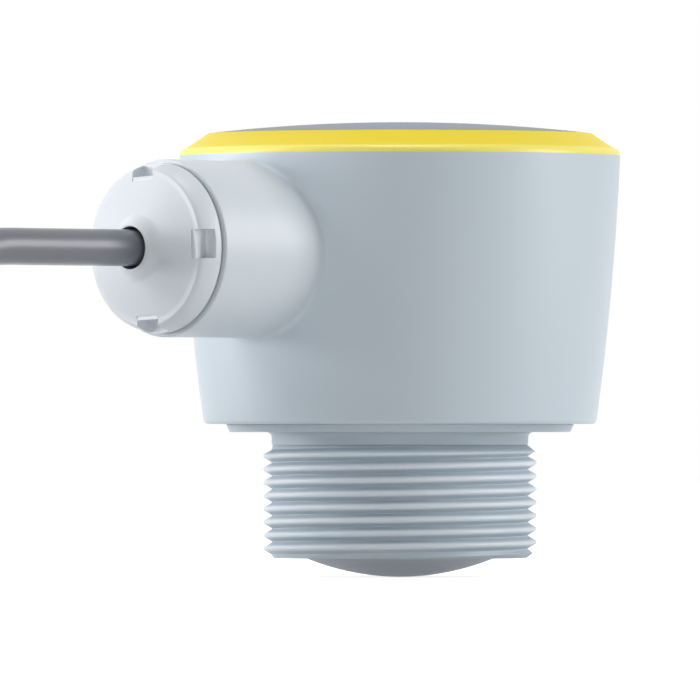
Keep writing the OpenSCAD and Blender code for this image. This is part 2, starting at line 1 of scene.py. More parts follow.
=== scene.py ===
"""Looks of a compact radar level transmitter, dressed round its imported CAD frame.

Lengths in the classes are millimetres, in the frame's own axes: the device axis is Z, the
cable leaves along -X. Meshes are made in metres, each finished piece with its place in its mesh.
"""
import logging
import math
from dataclasses import dataclass
from enum import Enum
from functools import lru_cache
from typing import Callable, ClassVar, Iterable, Sequence

import bmesh
import bpy
from mathutils import Matrix, Vector


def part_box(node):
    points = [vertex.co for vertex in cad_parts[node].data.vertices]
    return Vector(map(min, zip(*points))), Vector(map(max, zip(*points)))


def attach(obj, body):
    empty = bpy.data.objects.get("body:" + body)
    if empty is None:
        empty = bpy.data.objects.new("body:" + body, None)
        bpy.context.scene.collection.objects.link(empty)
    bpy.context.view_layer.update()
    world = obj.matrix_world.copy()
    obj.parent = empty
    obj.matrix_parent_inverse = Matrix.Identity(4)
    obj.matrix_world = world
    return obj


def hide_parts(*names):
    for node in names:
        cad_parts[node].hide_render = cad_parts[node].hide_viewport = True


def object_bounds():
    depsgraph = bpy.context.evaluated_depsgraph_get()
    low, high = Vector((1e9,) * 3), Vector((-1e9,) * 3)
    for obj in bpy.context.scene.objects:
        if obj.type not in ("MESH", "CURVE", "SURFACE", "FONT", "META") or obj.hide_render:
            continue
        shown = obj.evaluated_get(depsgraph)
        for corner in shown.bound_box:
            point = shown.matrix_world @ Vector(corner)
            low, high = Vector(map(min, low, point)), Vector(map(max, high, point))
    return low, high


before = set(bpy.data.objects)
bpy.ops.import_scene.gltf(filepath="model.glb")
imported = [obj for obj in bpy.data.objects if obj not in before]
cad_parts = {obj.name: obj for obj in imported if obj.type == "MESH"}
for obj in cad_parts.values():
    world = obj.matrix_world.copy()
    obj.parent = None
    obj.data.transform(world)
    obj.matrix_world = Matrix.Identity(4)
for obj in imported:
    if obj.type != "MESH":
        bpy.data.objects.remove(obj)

log = logging.getLogger("transmitter")
CAD_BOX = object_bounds()
MM = 0.001
PAST = 1.0  # how far a cutting tool stands out past what it cuts, in millimetres
ROOT = "transmitter"
Point = tuple[float, float]
Point3 = tuple[float, float, float]
Colour = tuple[float, float, float]
Mesh = bmesh.types.BMesh
Object = bpy.types.Object
Socket = bpy.types.NodeSocket


# ---- Small helpers ----

def linear(r: int, g: int, b: int) -> Colour:
    """Turn a display colour, 0 to 255 a channel, into a linear one."""
    shares = (c / 255 for c in (r, g, b))
    return tuple(c / 12.92 if c <= 0.04045 else ((c + 0.055) / 1.055) ** 2.4 for c in shares)


@lru_cache(maxsize=None)
def box_mm(node: str) -> tuple[Vector, Vector]:
    """Give a CAD node's lowest and highest corners in millimetres."""
    low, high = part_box(node)
    return Vector(low) / MM, Vector(high) / MM


def arc(centre: Point, radius: float, start: float, end: float, steps: int = 8) -> list[Point]:
    """Give the points of an arc.

    Args:
        centre: The arc's centre.
        radius: Its radius.
        start: The angle of its first point, in degrees.
        end: The angle of its last point, in degrees.
        steps: How many straight steps it has.

    Returns:
        The points, both ends included.
    """
    turns = [math.radians(start + (end - start) * i / steps) for i in range(steps + 1)]
    return [(centre[0] + radius * math.cos(a), centre[1] + radius * math.sin(a)) for a in turns]


def rounded(corners: Sequence[Point3], steps: int) -> list[Point]:
    """Round the corners of a closed outline.

    Args:
        corners: x, y and edge radius of each corner.
        steps: Straight steps in each rounded corner.

    Returns:
        The outline's points.
    """
    points: list[Point] = []
    for i, (x, y, radius) in enumerate(corners):
        here = Vector((x, y))
        if radius <= 0:
            points.append((x, y))
            continue
        back = (Vector(corners[i - 1][:2]) - here).normalized()
        ahead = (Vector(corners[(i + 1) % len(corners)][:2]) - here).normalized()
        half = back.angle(ahead) / 2
        centre = here + (back + ahead).normalized() * radius / math.sin(half)
        first = (here + back * radius / math.tan(half) - centre).normalized()
        last = (here + ahead * radius / math.tan(half) - centre).normalized()
        points += [tuple(centre + first.slerp(last, k / steps) * radius) for k in range(steps + 1)]
    return points


def smoothstep(t: float) -> float:
    """Ease a share from 0 to 1, flat at both ends."""
    t = min(max(t, 0.0), 1.0)
    return t * t * (3 - 2 * t)


# ---- Meshes ----

class Axis(Enum):
    """The axis that a turned piece is spun about."""

    DEVICE = "device"
    BOSS = "boss"

    def place(self) -> Matrix:
        """Give the matrix that takes a piece from its own axis to its place, in millimetres."""
        if self is Axis.DEVICE:
            return Matrix.Identity(4)
        low, high = box_mm("gland_cap")
        height = Matrix.Translation((0, 0, (low.z + high.z) / 2))
        return height @ Matrix.Rotation(-math.pi / 2, 4, "Y")


def linked(name: str, data: bpy.types.ID) -> Object:
    """Make an object for some data and put it into the scene."""
    made = bpy.data.objects.new(name, data)
    bpy.context.scene.collection.objects.link(made)
    return made


def loose(bm: Mesh, name: str = "scratch") -> Object:
    """Make an object of a mesh, which is freed."""
    data = bpy.data.meshes.new(name)
    bm.to_mesh(data)
    bm.free()
    return linked(name, data)


def settled(made: Object) -> Mesh:
    """Give a copy of an object's mesh as it shows, with its modifiers or bevel in effect."""
    done = made.evaluated_get(bpy.context.evaluated_depsgraph_get())
    bm = bmesh.new()
    bm.from_mesh(done.to_mesh())
    done.to_mesh_clear()
    return bm


def as_object(bm: Mesh, name: str, sharp: float = 32) -> Object:
    """Make a finished mesh an object of the scene.

    Args:
        bm: The mesh, in millimetres. It is freed.
        name: The object's name.
        sharp: Edges that turn by more than this angle, in degrees, stay sharp.

    Returns:
        The object, at the origin, with its mesh in metres.
    """
    bmesh.ops.scale(bm, vec=(MM, MM, MM), verts=bm.verts)
    made = loose(bm, name)
    made.data.shade_smooth()
    made.data.set_sharp_from_angle(angle=math.radians(sharp))
    return made


def points_in(items: Iterable[object]) -> list[bmesh.types.BMVert]:
    """Pick the points out of what a mesh operator gives."""
    return [item for item in items if isinstance(item, bmesh.types.BMVert)]


def close(bm: Mesh, gap: float = 1e-5) -> None:
    """Merge doubled points and turn every face outwards."""
    bmesh.ops.remove_doubles(bm, verts=bm.verts, dist=gap)
    bmesh.ops.dissolve_degenerate(bm, dist=gap / 2, edges=bm.edges)
    bmesh.ops.recalc_face_normals(bm, faces=bm.faces)


def turned(outline: Sequence[Point], axis: Axis = Axis.DEVICE, steps: int = 192) -> Mesh:
    """Spin an outline into a closed solid.

    Args:
        outline: Radius and height of each point. It starts and ends on the axis, or it is a
            closed loop off the axis.
        axis: The axis that it is spun about.
        steps: Steps of the full turn.

    Returns:
        The mesh, in millimetres and in place.
    """
    bm = bmesh.new()
    verts = [bm.verts.new((r, 0, z)) for r, z in outline]
    pairs = list(zip(verts, verts[1:]))
    if outline[0][0] > 1e-6:
        pairs.append((verts[-1], verts[0]))
    edges = [bm.edges.new(pair) for pair in pairs]
    bmesh.ops.spin(
        bm, geom=verts + edges, cent=(0, 0, 0), axis=(0, 0, 1), dvec=(0, 0, 0),
        angle=math.tau, steps=steps, use_merge=True, use_duplicate=False)
    close(bm)
    bmesh.ops.transform(bm, matrix=axis.place(), verts=bm.verts)
    return bm


def joined(first: Mesh, second: Mesh) -> Mesh:
    """Add a second mesh to the first, as shells of one piece."""
    spare = bpy.data.meshes.new("shell")
    second.to_mesh(spare)
    second.free()
    first.from_mesh(spare)
    bpy.data.meshes.remove(spare)
    return first


def carved(base: Mesh, tools: Iterable[Mesh], how: str = "DIFFERENCE") -> Mesh:
    """Cut solids from a solid, or add them to it.

    Args:
        base: The solid that is changed. It is freed.
        tools: The solids that are taken from it or added to it. They are freed.
        how: "DIFFERENCE" or "UNION".

    Returns:
        The mesh that is left.
    """
    work = loose(base)
    cutters = [loose(tool) for tool in tools]
    for cutter in cutters:
        cut = work.modifiers.new("cut", "BOOLEAN")
        cut.operation, cut.solver, cut.object = how, "EXACT", cutter
    out = settled(work)
    for item in [work, *cutters]:
        data = item.data
        bpy.data.objects.remove(item)
        bpy.data.meshes.remove(data)
    close(out)
    return out


def swept(name: str, points: Sequence[Point3], radius: float, sides: int) -> Object:
    """Sweep a round bar along points.

    Args:
        name: The object's name.
        points: The points of its middle line, in millimetres.
        radius: The bar's radius in millimetres.
        sides: How finely a quarter of its section is divided.

    Returns:
        The bar, as a mesh.
    """
    data = bpy.data.curves.new(name, "CURVE")
    data.dimensions = "3D"
    data.bevel_depth, data.bevel_resolution = radius * MM, sides - 1
    data.use_fill_caps = True
    line = data.splines.new("POLY")
    line.points.add(len(points) - 1)
    for knot, place in zip(line.points, points):
        knot.co = (*(Vector(place) * MM), 1)
    path = linked(name, data)
    bm = settled(path)
    bpy.data.objects.remove(path)
    bpy.data.curves.remove(data)
    bmesh.ops.scale(bm, vec=(1 / MM, 1 / MM, 1 / MM), verts=bm.verts)
    close(bm)
    return as_object(bm, name, 40)


# ---- Finishes ----

class Wiring:
    """Adds nodes to a shader tree and links them."""

    def __init__(self, tree: bpy.types.NodeTree) -> None:
        """Keep the tree that the nodes go into."""
        self.tree = tree

    def add(self, kind: str, **inputs: object) -> bpy.types.Node:
        """Add a node.

        Args:
            kind: The node's type, without its leading "ShaderNode".
            **inputs: Socket values, by name or by "i" and a number. A socket links, and a name
                that starts with "set_" is a property of the node, which is set first.

        Returns:
            The node.
        """
        node = self.tree.nodes.new("ShaderNode" + kind)
        for name, value in sorted(inputs.items(), key=lambda item: item[0][:4] != "set_"):
            if name.startswith("set_"):
                setattr(node, name[4:], value)
                continue
            socket = node.inputs[int(name[1:]) if name[1:].isdigit() else name]
            if isinstance(value, Socket):
                self.tree.links.new(value, socket)
            else:
                short = isinstance(value, tuple) and len(value) == 3 and socket.type == "RGBA"
                socket.default_value = (*value, 1) if short else value
        return node

    def math(self, how: str, a: object, b: object = 0.0) -> Socket:
        """Add a Math node and give its output."""
        return self.add("Math", set_operation=how, i0=a, i1=b).outputs[0]

    def blend(self, share: object, a: object, b: object) -> Socket:
        """Mix two colours by a share and give the output."""
        return self.add("Mix", set_data_type="RGBA", i0=share, i6=a, i7=b).outputs[2]

    def noise(
        self, where: object, scale: object, detail: float = 2, rough: float = 0.5
    ) -> Socket:
        """Add a Noise texture and give its value."""
        made = self.add("TexNoise", Vector=where, Scale=scale, Detail=detail, Roughness=rough)
        return made.outputs[0]

    def place(self) -> Socket:
        """Give the place on the object."""
        return self.add("TexCoord").outputs["Object"]

    def length(self, vector: Socket) -> Socket:
        """Give a vector's length."""
        return self.add("VectorMath", set_operation="LENGTH", i0=vector).outputs["Value"]

    def ease(self, value: Socket, start: Point, end: Point) -> Socket:
        """Ease from one value to another. Start and end each hold an input and its output."""
        made = self.add(
            "MapRange", set_interpolation_type="SMOOTHSTEP", i0=value, i1=start[0], i2=end[0],
            i3=start[1], i4=end[1])
        return made.outputs[0]

    def bump(self, height: Socket, strength: float, depth: object) -> Socket:
        """Give the normal of a relief, its depth in metres."""
        return self.add("Bump", Strength=strength, Distance=depth, Height=height).outputs[0]

    def seen(self) -> Socket:
        """Give 1 for a ray from the eye, a reflection or a clear body, and 0 for the rest."""
        path = self.add("LightPath").outputs
        seen = self.math("MAXIMUM", path["Is Camera Ray"], path["Is Transmission Ray"])
        return self.math("MAXIMUM", seen, path["Is Glossy Ray"])


class Grain(Enum):
    """What a mould leaves on plastic: features a metre, and depth in millimetres."""

    GLOSSY = (900.0, 0.0006)
    FINE = (2600.0, 0.002)
    COARSE = (1500.0, 0.006)


def new_material(name: str) -> tuple[bpy.types.Material, Wiring, bpy.types.Node]:
    """Start a material and give it, its wiring and its surface shader."""
    made = bpy.data.materials.new(name)
    made.use_nodes = True
    return made, Wiring(made.node_tree), made.node_tree.nodes["Principled BSDF"]


@dataclass(frozen=True)
class Finish:
    """A finish: a node group for its kind of skin, which feeds the surface shader."""

    title: ClassVar[str]
    socket_kinds: ClassVar[dict[str, str]] = {"Colour": "Color", "Normal": "Vector"}
    name: str
    colour: Colour

    def given(self) -> dict[str, object]:
        """Give the group's inputs for this finish. A tuple is a colour."""
        raise NotImplementedError

    def skin(self, wires: Wiring, given: bpy.types.NodeInputs) -> dict[str, Socket]:
        """Wire the inside of the group and give the socket for each of its outputs."""
        raise NotImplementedError

    def surface(self) -> dict[str, float]:
        """Give what the shader gets apart from the group's outputs."""
        return {}

    def tint(self, wires: Wiring) -> Socket | None:
        """Give the colour for the group where it changes over the piece, or nothing."""
        return None

    def group(self) -> bpy.types.NodeTree:
        """Give the group of this kind of finish, made once."""
        if self.title in bpy.data.node_groups:
            return bpy.data.node_groups[self.title]
        tree = bpy.data.node_groups.new(self.title, "ShaderNodeTree")
        for label, value in self.given().items():
            kind = "Color" if isinstance(value, tuple) else "Float"
            tree.interface.new_socket(
                name=label, in_out="INPUT", socket_type="NodeSocket" + kind)
        outputs = self.skin(Wiring(tree), tree.nodes.new("NodeGroupInput").outputs)
        for label in outputs:
            kind = self.socket_kinds.get(label, "Float")
            tree.interface.new_socket(
                name=label, in_out="OUTPUT", socket_type="NodeSocket" + kind)
        leave = tree.nodes.new("NodeGroupOutput")
        for label, socket in outputs.items():
            tree.links.new(socket, leave.inputs[label])
        return tree

    def material(self) -> bpy.types.Material:
        """Build the finish."""
        made, wires, shader = new_material(self.name)
        skin = wires.add("Group", set_node_tree=self.group())
        for label, value in self.given().items():
            skin.inputs[label].default_value = (*value, 1) if isinstance(value, tuple) else value
        for socket in skin.outputs:
            label = "Base Color" if socket.name == "Colour" else socket.name
            made.node_tree.links.new(socket, shader.inputs[label])
        for label, value in self.surface().items():
            shader.inputs[label].default_value = value
        tint = self.tint(wires)
        if tint:
            made.node_tree.links.new(tint, skin.inputs["Colour"])
        return made


@dataclass(frozen=True)
class PlasticFinish(Finish):
    """Moulded plastic or rubber: cloudy colour, grain and dull patches."""

    title: ClassVar[str] = "mould skin"
    roughness: float = 0.45
    grain: Grain = Grain.FINE
    mottle: float = 0.12
    dullness: float = 0.1
    gloss: float = 0.5
    coat: float = 0.0
    sheen: float = 0.0

    def given(self) -> dict[str, object]:
        """Give the group's inputs."""
        scale, depth = self.grain.value
        return {
            "Colour": self.colour, "Mottle": self.mottle, "Roughness": self.roughness,
            "Dullness": self.dullness, "Grain scale": scale, "Grain depth": depth * MM}

    def skin(self, wires: Wiring, given: bpy.types.NodeInputs) -> dict[str, Socket]:
        """Wire the group."""
        place = wires.place()
        cloud = wires.noise(place, 45.0, 3, 0.6)
        fine = wires.noise(place, given["Grain scale"], 3, 0.55)
        pale = wires.blend(0.5, given["Colour"], (1.0, 1.0, 1.0))
        lift = wires.math("MULTIPLY", wires.math("SUBTRACT", cloud, 0.45), given["Mottle"])
        dull = wires.math("MULTIPLY", wires.math("SUBTRACT", fine, 0.5), given["Dullness"])
        return {
            "Colour": wires.blend(lift, given["Colour"], pale),
            "Roughness": wires.math("ADD", given["Roughness"], dull),
            "Normal": wires.bump(fine, 1.0, given["Grain depth"])}

    def surface(self) -> dict[str, float]:
        """Give the shader's own values."""
        return {
            "Specular IOR Level": self.gloss, "Coat Weight": self.coat, "Coat Roughness": 0.2,
            "Sheen Weight": self.sheen}


@dataclass(frozen=True)
class PaintedLightFinish(PlasticFinish):
    """Moulded plastic with painted light: it goes over to a paler second colour away from the
    device axis, for light that falls there.

    It starts at one distance from the axis and is full at another, both given at height 0 and
    growing by the draft with height. None of it is above the top.
    """

    second: Colour = (1.0, 1.0, 1.0)
    start_r: float = 0.0
    full_r: float = 1.0
    draft: float = 0.0
    top: float = 1000.0

    def tint(self, wires: Wiring) -> Socket:
        """Mix the base colour with the painted light."""
        place = wires.place()
        height = wires.add("SeparateXYZ", i0=place).outputs[2]
        flat = wires.add("VectorMath", set_operation="MULTIPLY", i0=place, i1=(1, 1, 0))
        grown = wires.math("MULTIPLY", height, self.draft)
        reach = wires.math("SUBTRACT", wires.length(flat.outputs[0]), grown)
        share = wires.ease(reach, (self.start_r * MM, 0.0), (self.full_r * MM, 1.0))
        below = wires.math("LESS_THAN", height, self.top * MM)
        return wires.blend(wires.math("MULTIPLY", share, below), self.colour, self.second)


@dataclass(frozen=True)
class MetalFinish(Finish):
    """Drawn, turned or tinned metal: fine lines along one axis and a dull film."""

    title: ClassVar[str] = "wire drawing"
    film: Colour
    line_scale: float = 1500.0

    def given(self) -> dict[str, object]:
        """Give the group's inputs."""
        return {"Colour": self.colour, "Film": self.film, "Line scale": self.line_scale}

    def skin(self, wires: Wiring, given: bpy.types.NodeInputs) -> dict[str, Socket]:
        """Wire the group."""
        place = wires.place()
        drawn = wires.add("Mapping", Vector=place, Scale=(1.0, 1.0, 18.0)).outputs[0]
        lines = wires.noise(drawn, given["Line scale"], 4, 0.6)
        film = wires.math("MULTIPLY", wires.noise(place, 300.0, 2), 0.35)
        return {
            "Colour": wires.blend(film, given["Colour"], given["Film"]),
            "Roughness": wires.math("ADD", wires.math("MULTIPLY", lines, 0.2), 0.22),
            "Normal": wires.bump(lines, 0.4, 0.00001)}

    def surface(self) -> dict[str, float]:
        """Give the shader's own values."""
        return {"Metallic": 1.0}


@dataclass(frozen=True)
class BoardFinish(Finish):
    """Circuit board: lacquer with tracks and bare pads under it."""

    title: ClassVar[str] = "board tracks"
    track: Colour
    bare: ClassVar[Colour] = (0.62, 0.60, 0.52)

    def given(self) -> dict[str, object]:
        """Give the group's inputs."""
        return {"Colour": self.colour, "Track": self.track}

    def skin(self, wires: Wiring, given: bpy.types.NodeInputs) -> dict[str, Socket]:
        """Wire the group."""
        place = wires.place()
        cells = wires.add("TexVoronoi", set_feature="DISTANCE_TO_EDGE", Vector=place, Scale=420.0)
        track = wires.math("LESS_THAN", cells.outputs["Distance"], 0.07)
        dots = wires.add("TexVoronoi", Vector=place, Scale=600.0)
        pad = wires.math("LESS_THAN", dots.outputs["Distance"], 0.16)
        share = wires.math("MULTIPLY", track, 0.5)
        lacquer = wires.blend(share, given["Colour"], given["Track"])
        return {
            "Colour": wires.blend(pad, lacquer, self.bare), "Metallic": pad,
            "Normal": wires.bump(wires.math("MAXIMUM", track, pad), 0.5, 0.00004)}

    def surface(self) -> dict[str, float]:
        """Give the shader's own values."""
        return {"Roughness": 0.3}


@dataclass(frozen=True)
class StrapFinish(Finish):
    """Woven strap: ribs across it, with lint between them."""

    title: ClassVar[str] = "strap weave"
    rib: Colour

    def given(self) -> dict[str, object]:
        """Give the group's inputs."""
        return {"Colour": self.colour, "Rib": self.rib}

    def skin(self, wires: Wiring, given: bpy.types.NodeInputs) -> dict[str, Socket]:
        """Wire the group."""
        place = wires.place()
        ribs = wires.add(
            "TexWave", set_wave_type="BANDS", set_bands_direction="DIAGONAL", Vector=place,
            Scale=420.0, Distortion=0.6, Detail=2.0).outputs["Fac"]
        lint = wires.noise(place, 2200.0, 3)
        height = wires.math(
            "ADD", wires.math("MULTIPLY", ribs, 0.7), wires.math("MULTIPLY", lint, 0.3))
        return {
            "Colour": wires.blend(height, given["Colour"], given["Rib"]),
            "Roughness": wires.math("ADD", 0.7, wires.math("MULTIPLY", lint, 0.2)),
            "Normal": wires.bump(height, 0.7, 0.00012)}


# The second colours are painted light: the cable boss is painted paler for the light that falls on
# it, the thread's crests get a painted highlight
HOUSING_GREY = PaintedLightFinish(
    "housing_grey", linear(204, 216, 225), 0.42, second=linear(216, 224, 231),
    start_r=34.5, full_r=36.3, draft=0.087)
# Painted highlight: the fitting's thread crests are given a paler grey.
FITTING_GREY = PaintedLightFinish(
    "fitting_grey", linear(190, 202, 211), 0.46, second=linear(232, 240, 246),
    start_r=23.05, full_r=23.8, top=-1.0)
CAP_GREY = PlasticFinish("cap_grey", linear(220, 226, 232), 0.42)
RING_YELLOW = PlasticFinish("ring_yellow", linear(254, 230, 40), 0.42, gloss=0.2)
# Painted highlight: a paler yellow on the ring's round band, for the light that catches it.
BAND_HIGHLIGHT_YELLOW = PlasticFinish("band_painted_highlight", linear(255, 241, 108), 0.36)
LID_GREY = PlasticFinish("lid_grey", linear(137, 145, 153), 0.5, gloss=0.2)
JACKET = PlasticFinish(
    "cable_jacket", linear(105, 108, 116), 0.36, Grain.COARSE, gloss=0.7)
SEAL_BLACK = PlasticFinish("seal_black", linear(38, 38, 41), 0.6, Grain.COARSE, sheen=0.1)
STRAP_BLACK = StrapFinish("strap_black", linear(28, 28, 30), linear(62, 62, 66))
COLLAR_RED = PlasticFinish("collar_red", linear(190, 52, 40), 0.4, Grain.GLOSSY)
SLEEVE_TIN = MetalFinish("sleeve_tin", linear(214, 214, 218), linear(160, 162, 168))

# The CAD nodes that show as they are, with the finish that each gets
NODE_FINISHES: dict[str, Finish] = {
    "fitting_seal": SEAL_BLACK,
    "lid_seal": SEAL_BLACK,
    "cable_seal": SEAL_BLACK,
    "slip_ring": PlasticFinish("slip_ring_white", linear(232, 232, 226), 0.35, Grain.GLOSSY),
    "lock_ring": PlasticFinish("nut_black", linear(58, 60, 64), 0.5),
    "board_carrier": PlasticFinish("carrier_black", linear(50, 52, 56), 0.5),
    "clamp_ring": PlasticFinish("clamp_black", linear(60, 62, 66), 0.5),
    "main_board": BoardFinish("board_green", linear(22, 96, 58), linear(52, 140, 88)),
    "radar_board": BoardFinish("radar_board_green", linear(18, 84, 62), linear(48, 128, 92)),
    "board_screws": MetalFinish("screw_steel", linear(205, 205, 210), linear(150, 150, 158)),
    "processor": PlasticFinish("chip_black", linear(34, 34, 37), 0.4, Grain.GLOSSY),
    "radar_chip": PlasticFinish("radar_chip_black", linear(30, 30, 34), 0.4, Grain.GLOSSY),
    "capacitors": MetalFinish("can_aluminium", linear(196, 199, 206), linear(120, 128, 150)),
    "power_coil": MetalFinish("coil_copper", linear(186, 110, 64), linear(96, 48, 30), 3000.0),
    "terminal_block": PlasticFinish("terminal_green", linear(56, 138, 84), 0.35, Grain.GLOSSY),
    "feed_horn": MetalFinish("horn_brass", linear(212, 180, 112), linear(150, 118, 60)),
    "shield_can": MetalFinish("shield_tin", linear(208, 210, 214), linear(150, 154, 160)),
    "flex_link": PlasticFinish("flex_amber", linear(206, 128, 40), 0.25, Grain.GLOSSY, coat=0.4),
    "core_brown": PlasticFinish("core_brown", linear(112, 66, 36), 0.38, Grain.GLOSSY),
    "core_blue": PlasticFinish("core_blue", linear(52, 92, 168), 0.38, Grain.GLOSSY),
}


def dress(made: Object, finish: Finish) -> None:
    """Give every face of a piece one finish."""
    made.data.materials.clear()
    made.data.materials.append(finish.material())


def line(made: Object, finish: Finish, choose: Callable[[Vector], bool]) -> None:
    """Give a piece's faces a second finish where their middle, in metres, is chosen."""
    made.data.materials.append(finish.material())
    for face in made.data.polygons:
        if choose(face.center):
            face.material_index = 1


def show(made: Object, finish: Finish, body: str, slot: str, *nodes: str) -> Object:
    """Dress a piece, hang it under its body and hide the CAD nodes that it stands for."""
    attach(made, body)
    if nodes:
        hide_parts(*nodes)
    dress(made, finish)
    return made


# ---- Studio ----

@dataclass
class Studio:
    """Camera, lamps, pale floor and white surroundings."""

    distance: float = 2350.0
    heading: float = 45.0
    eye_height: float = 1.4
    aside: float = 8.74
    pitch: float = 0.3155
    lens: float = 691.3
    sensor: float = 36.0
    lamp_reach: float = 1200.0
    lamp_aim: float = 20.0
    ambient: float = 0.02
    floor_reach: float = 2500.0
    floor_grey: float = 0.8

    def along(self, toward: float, right: float, up: float) -> Vector:
        """Give a place in metres from the distances toward the camera, to its right, and up."""
        a = math.radians(self.heading)
        forward = Vector((math.cos(a), math.sin(a), 0))
        side = Vector((math.sin(a), -math.cos(a), 0))
        return (side * right - forward * toward + Vector((0, 0, up))) * MM

    def camera(self) -> None:
        """Stand the camera at its place."""
        data = bpy.data.cameras.new("camera")
        data.lens, data.sensor_width = self.lens, self.sensor
        data.clip_start, data.clip_end = 0.01, 50.0
        eye = linked("camera", data)
        eye.location = self.along(self.distance, -self.aside, self.eye_height)
        aim = self.along(-1000, 0, 1000 * math.tan(math.radians(self.pitch)))
        eye.rotation_euler = aim.to_track_quat("-Z", "Y").to_euler()
        bpy.context.scene.camera = eye

    def lamp(self, name: str, turn: float, rise: float, size: Point, power: float) -> None:
        """Hang a soft lamp that faces the part.

        Args:
            name: The lamp's name.
            turn: Degrees round the part, 0 toward the camera and 90 to its right.
            rise: Degrees above the horizon.
            size: Width and height in millimetres.
            power: Its power in watts.
        """
        data = bpy.data.lights.new(name, "AREA")
        data.shape, data.energy = "RECTANGLE", power
        data.size, data.size_y = size[0] * MM, size[1] * MM
        made = linked(name, data)
        a, e = math.radians(turn), math.radians(rise)
        flat, up = self.lamp_reach * math.cos(e), self.lamp_reach * math.sin(e)
        middle = self.along(0, 0, self.lamp_aim)
        made.location = middle + self.along(flat * math.cos(a), flat * math.sin(a), up)
        made.rotation_euler = (middle - made.location).to_track_quat("-Z", "Y").to_euler()

    def lamps(self) -> None:
        """Hang strong lamps left and right, and weaker ones in front, above and behind."""
        self.lamp("lamp_left", -95, 4, (800, 380), 8.1)
        self.lamp("lamp_left_high", -85, 30, (480, 480), 3.7)
        self.lamp("lamp_front", -20, 8, (420, 1000), 3.2)
        self.lamp("lamp_right", 83, 17, (480, 700), 7.9)
        self.lamp("lamp_top", 0, 88, (480, 480), 5.9)
        self.lamp("lamp_back", -140, 40, (600, 600), 1.2)

    def surroundings(self) -> None:
        """Make the world white to the eye and dim to the surfaces."""
        world = bpy.data.worlds.new("studio")
        bpy.context.scene.world = world
        world.use_nodes = True
        wires = Wiring(world.node_tree)
        sky = world.node_tree.nodes["Background"].inputs
        sky["Color"].default_value = (1, 1, 1, 1)
        world.node_tree.links.new(
            wires.math("MAXIMUM", wires.seen(), self.ambient), sky["Strength"])

    def floor(self) -> None:
        """Lay the floor under the part. It glows white to the eye, a little less near the part."""
        bm = bmesh.new()
        bmesh.ops.create_grid(bm, x_segments=2, y_segments=2, size=self.floor_reach)
        bmesh.ops.translate(bm, vec=(0, 0, CAD_BOX[0].z / MM), verts=bm.verts)
        made = as_object(bm, "floor")
        paint, wires, shader = new_material("floor_paper")
        place = wires.place()
        relief = wires.bump(wires.noise(place, 900.0, 3), 0.15, 0.0001)
        fade = wires.ease(wires.length(place), (0.25, 0.75), (0.7, 1.0))
        glow = wires.math("MULTIPLY", wires.seen(), fade)
        shader.inputs["Base Color"].default_value = (*[self.floor_grey] * 3, 1)
        shader.inputs["Roughness"].default_value = 0.9
        shader.inputs["Emission Color"].default_value = (1, 1, 1, 1)
        paint.node_tree.links.new(relief, shader.inputs["Normal"])
        paint.node_tree.links.new(glow, shader.inputs["Emission Strength"])
        made.data.materials.append(paint)

    def build(self) -> None:
        """Set the studio up."""
        bpy.context.scene.view_settings.view_transform = "Standard"
        self.camera()
        self.lamps()
        self.surroundings()
        self.floor()


# ---- Cable ----

